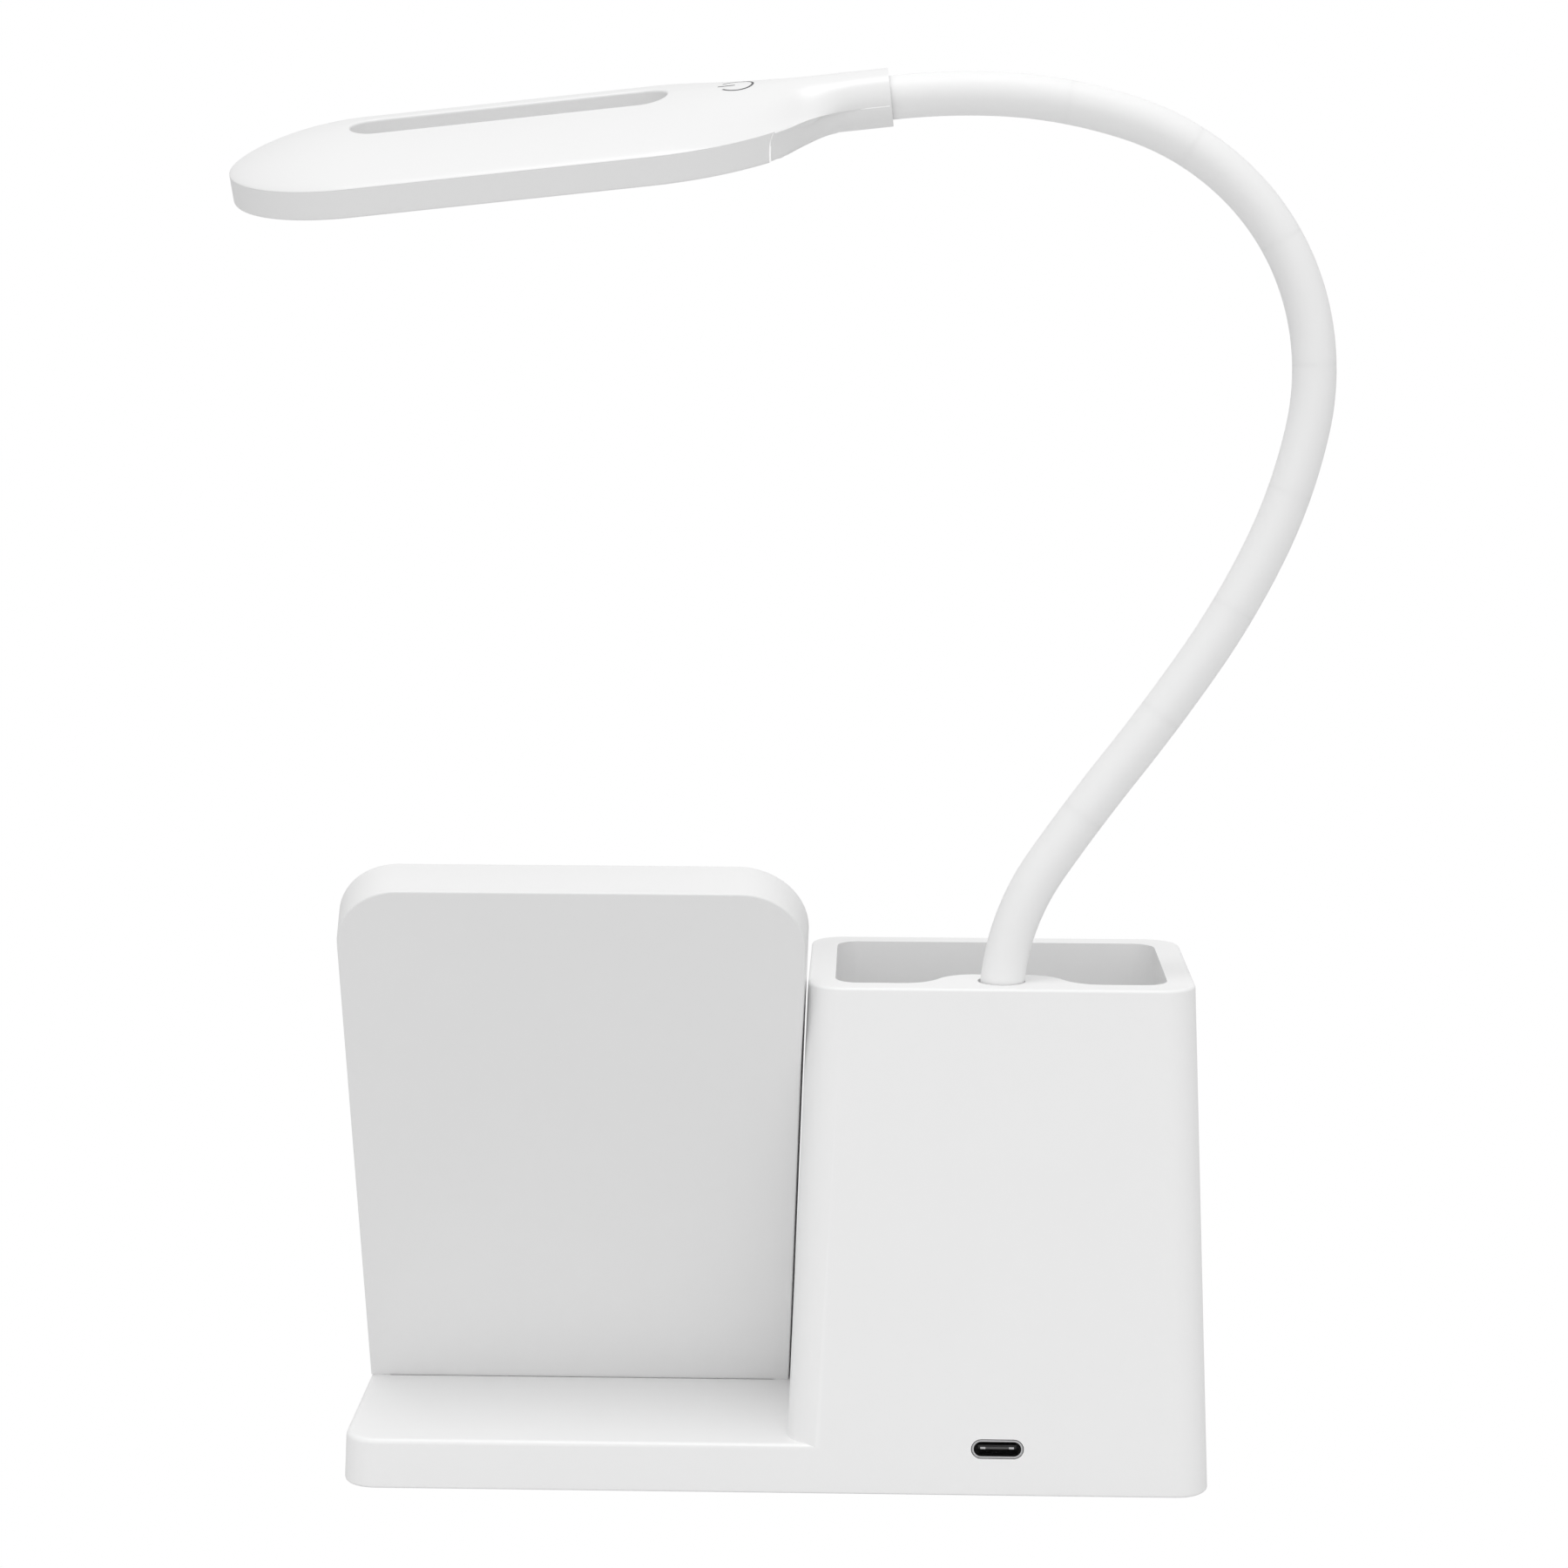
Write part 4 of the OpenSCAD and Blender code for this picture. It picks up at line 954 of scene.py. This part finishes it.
def material(name, color, rough, grain=0.0, grain_size=0.4, tone=0.0,
             metal=0.0, clear=0.0, sub=0.0, glow=None):
    """Colour, roughness, grain depth and size in millimetres, unevenness, and special shares."""
    mat = MATERIALS[name] = bpy.data.materials.new(name)
    mat.use_nodes = True
    tree = mat.node_tree
    bsdf = tree.nodes["Principled BSDF"]
    for socket, value in (("Metallic", metal), ("Coat Weight", clear), ("Subsurface Weight", sub)):
        bsdf.inputs[socket].default_value = value
    if sub:
        bsdf.inputs["Subsurface Scale"].default_value = SKIN_DEPTH
        bsdf.inputs["Subsurface Radius"].default_value = (1, 1, 1)
    if glow:
        bsdf.inputs["Emission Color"].default_value = (*color, 1)
        bsdf.inputs["Emission Strength"].default_value = glow
    coords = tree.nodes.new("ShaderNodeTexCoord").outputs["Object"]
    cloud = node(tree, "ShaderNodeTexNoise", Scale=CLOUD_SCALE, Detail=4)
    shades = node(tree, "ShaderNodeMapRange", To_Min=1 - tone, To_Max=1)
    tint = tree.nodes.new("ShaderNodeVectorMath")
    tint.operation = "SCALE"
    tint.inputs[0].default_value = color
    fine = node(tree, "ShaderNodeTexNoise", Scale=1 / (grain_size * MM), Detail=3)
    gloss = node(tree, "ShaderNodeMapRange", To_Min=rough - ROUGH_SPREAD, To_Max=rough + ROUGH_SPREAD)
    tree.links.new(coords, cloud.inputs["Vector"])
    tree.links.new(cloud.outputs["Fac"], shades.inputs["Value"])
    tree.links.new(shades.outputs["Result"], tint.inputs["Scale"])
    tree.links.new(tint.outputs["Vector"], bsdf.inputs["Base Color"])
    tree.links.new(coords, fine.inputs["Vector"])
    tree.links.new(fine.outputs["Fac"], gloss.inputs["Value"])
    tree.links.new(gloss.outputs["Result"], bsdf.inputs["Roughness"])
    if grain:
        bump = node(tree, "ShaderNodeBump", Strength=GRAIN_STRENGTH, Distance=grain * MM)
        tree.links.new(fine.outputs["Fac"], bump.inputs["Height"])
        tree.links.new(bump.outputs["Normal"], bsdf.inputs["Normal"])
    return mat


def grey(level):
    return (level, level, level)


# %% [markdown]
# ## The lamp's finishes
# The base, the board and the head are three mouldings, and the photograph shows three slightly
# different whites. The board is the same white plastic as the base, though: its colour is set
# darker, and that is painted shade, standing in for the shade that its forward lean puts on it.
# The sleeve is silicone: duller, and with some light that passes under its skin. The radius of
# that light is equal for red, green and blue, or the white would turn blue.
# The inner pieces get the plain finishes of real steel, brass, copper, wire and board.

# %% White mouldings and the sleeve
material("white_housing", grey(0.945), 0.34, grain=0.012, grain_size=0.35, tone=0.015)
# The board is the base's plastic; its colour is set darker as painted shade, for the shade that its forward
# lean gets.
material("board_white", grey(0.88), 0.38, grain=0.012, grain_size=0.35, tone=0.015)
material("head_white", grey(0.865), 0.31, grain=0.0015, grain_size=0.5, tone=0.01)
material("silicone_white", grey(0.945), 0.5, grain=0.006, grain_size=0.6, tone=0.01, sub=0.15)
print("whites:", ", ".join(MATERIALS))

# %% Metals
material("plated_steel", (0.55, 0.56, 0.58), 0.35, grain=0.01, tone=0.1, metal=1)
material("hose_steel", (0.5, 0.5, 0.52), 0.38, grain=0.02, tone=0.12, metal=1)
material("screw_steel", (0.6, 0.6, 0.61), 0.3, grain=0.01, tone=0.1, metal=1)
material("port_steel", (0.62, 0.62, 0.63), 0.25, grain=0.004, tone=0.05, metal=1)
material("ferrule_brass", (0.7, 0.5, 0.22), 0.3, grain=0.01, tone=0.1, metal=1)
material("sensor_copper", (0.75, 0.38, 0.25), 0.35, grain=0.01, tone=0.1, metal=1)
material("board_aluminium", (0.85, 0.86, 0.86), 0.4, grain=0.01, tone=0.05, metal=0.3)
print(len(MATERIALS), "finishes so far")

# %% Rubber, boards, wires and the diffuser
material("foot_rubber", (0.3, 0.3, 0.31), 0.8, grain=0.05, tone=0.15)
material("cell_wrap", (0.05, 0.2, 0.4), 0.3, grain=0.01, tone=0.1, clear=0.3)
material("circuit_board", (0.02, 0.16, 0.07), 0.35, grain=0.02, tone=0.2, clear=0.3)
material("chip_black", (0.012, 0.012, 0.013), 0.5, grain=0.02, tone=0.2)
material("wire_red", (0.45, 0.03, 0.02), 0.4, grain=0.01, tone=0.1)
material("opal_diffuser", (0.86, 0.86, 0.84), 0.5, grain=0.01, tone=0.01, sub=0.3)
material("led_yellow", (0.8, 0.62, 0.12), 0.4, grain=0.01, tone=0.1)
print(len(MATERIALS), "finishes so far")

# %% Print, painted seam highlight and blade
material("print_grey", (0.10, 0.10, 0.105), 0.5, tone=0.05)
# The seam strips are a painted highlight: white, with a faint glow.
material("painted_seam_highlight", grey(0.95), 0.3, glow=0.2)
material("blade_grey", grey(0.11), 0.4, tone=0.1)
print(len(MATERIALS), "finishes in all")


# %% Put every finish on its pieces
def paint(obj, *names):
    obj.data.materials.clear()
    for name in names:
        obj.data.materials.append(MATERIALS[name])


slot_of = {s["node"]: s["material_slot"] for s in frame["record"]["subparts"]}
for part, obj in frame["nodes"].items():
    paint(obj, slot_of[part])
for piece in [housing, board, head_top, head_band, neck_shell, *sleeves]:
    paint(piece, piece["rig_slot"])
paint(power_mark, "print_grey")
# The seam strips carry the painted highlight.
paint(painted_seam_highlights, "painted_seam_highlight")

# The blade's faces keep the finish that they were given when it was made.
bare = [face.material_index for face in port_blade.data.polygons]
paint(port_blade, "port_steel", "blade_grey")
port_blade.data.polygons.foreach_set("material_index", bare)
print(sum(bare), "faces of the blade are dark")

# %% [markdown]
# ## The stage
# The lamp stands on a white sweep in a white room, so the photograph has hardly any shadow. A
# room of many lamps would be slow and noisy. The world's own light does the work: bright in front
# and above, darker at the sides and behind. One weak lamp overhead adds the soft gloss. What the
# camera sees directly of the floor and the room is plain white, whatever light falls on it.

# %% Plain white for the camera
def camera_white(tree, shader, output, kind):
    """Shows a surface as plain white to the camera, and leaves it as it is for all other light."""
    path = tree.nodes.new("ShaderNodeLightPath")
    mix = tree.nodes.new("ShaderNodeMixShader")
    plain_white = node(tree, kind, Color=(1, 1, 1, 1))
    tree.links.new(path.outputs["Is Camera Ray"], mix.inputs["Fac"])
    tree.links.new(shader.outputs[0], mix.inputs[1])
    tree.links.new(plain_white.outputs[0], mix.inputs[2])
    tree.links.new(mix.outputs[0], output.inputs["Surface"])


# %% The white room
def multiply(tree, one, other):
    """A node that multiplies two outputs."""
    product = tree.nodes.new("ShaderNodeMath")
    product.operation = "MULTIPLY"
    tree.links.new(one, product.inputs[0])
    tree.links.new(other, product.inputs[1])
    return product.outputs[0]


def make_world(front, side, back):
    """The room's light by direction: X runs to the sides, and Y away from the camera."""
    world = bpy.data.worlds.new("studio")
    bpy.context.scene.world = world
    world.use_nodes = True
    tree = world.node_tree
    sky = tree.nodes["Background"]
    sky.inputs["Color"].default_value = (1, 1, 1, 1)
    coords = tree.nodes.new("ShaderNodeTexCoord")
    split = tree.nodes.new("ShaderNodeSeparateXYZ")
    across = node(tree, "ShaderNodeMapRange", To_Min=front, To_Max=side)
    behind = node(tree, "ShaderNodeMapRange", From_Min=-0.2, From_Max=0.9, To_Min=1, To_Max=back)
    behind.interpolation_type = "SMOOTHSTEP"
    tree.links.new(coords.outputs["Generated"], split.inputs[0])
    tree.links.new(multiply(tree, split.outputs["X"], split.outputs["X"]), across.inputs["Value"])
    tree.links.new(split.outputs["Y"], behind.inputs["Value"])
    tree.links.new(multiply(tree, across.outputs["Result"], behind.outputs["Result"]), sky.inputs["Strength"])
    camera_white(tree, sky, tree.nodes["World Output"], "ShaderNodeBackground")


make_world(1.07, 0.43, 0.72)
print("world:", bpy.context.scene.world.name)

# %% The floor and the overhead lamp
FLOOR_SIDE = 8
KEY_AT, KEY_AIM, KEY_SIZE, KEY_POWER = (-0.1, -0.4, 1.7), (0, 0, 0.1), 0.55, 5.2

bpy.ops.mesh.primitive_plane_add(size=FLOOR_SIDE, calc_uvs=False)
floor = name_new("floor")
white = material("floor_white", grey(0.72), 0.9)
camera_white(white.node_tree, white.node_tree.nodes["Principled BSDF"],
             white.node_tree.nodes["Material Output"], "ShaderNodeEmission")
paint(floor, "floor_white")

glow = bpy.data.lights.new("key", "AREA")
glow.shape, glow.size, glow.energy = "DISK", KEY_SIZE, KEY_POWER
key = bpy.data.objects.new("key", glow)
key.location = Vector(KEY_AT)
key.rotation_euler = (Vector(KEY_AIM) - Vector(KEY_AT)).to_track_quat("-Z", "Y").to_euler()
bpy.context.scene.collection.objects.link(key)
print(f"floor of {FLOOR_SIDE} m, overhead lamp of {KEY_POWER} W")

# %% [markdown]
# ## The tone of the picture
# A filmic view would soften the highlights, but it would also turn this white lamp grey. The plain
# view keeps the levels as they are lit.

# %% Set the view
view = bpy.context.scene.view_settings
view.view_transform, view.look, view.exposure, view.gamma = "Standard", "None", 0.0, 1.0
print("view:", view.view_transform)
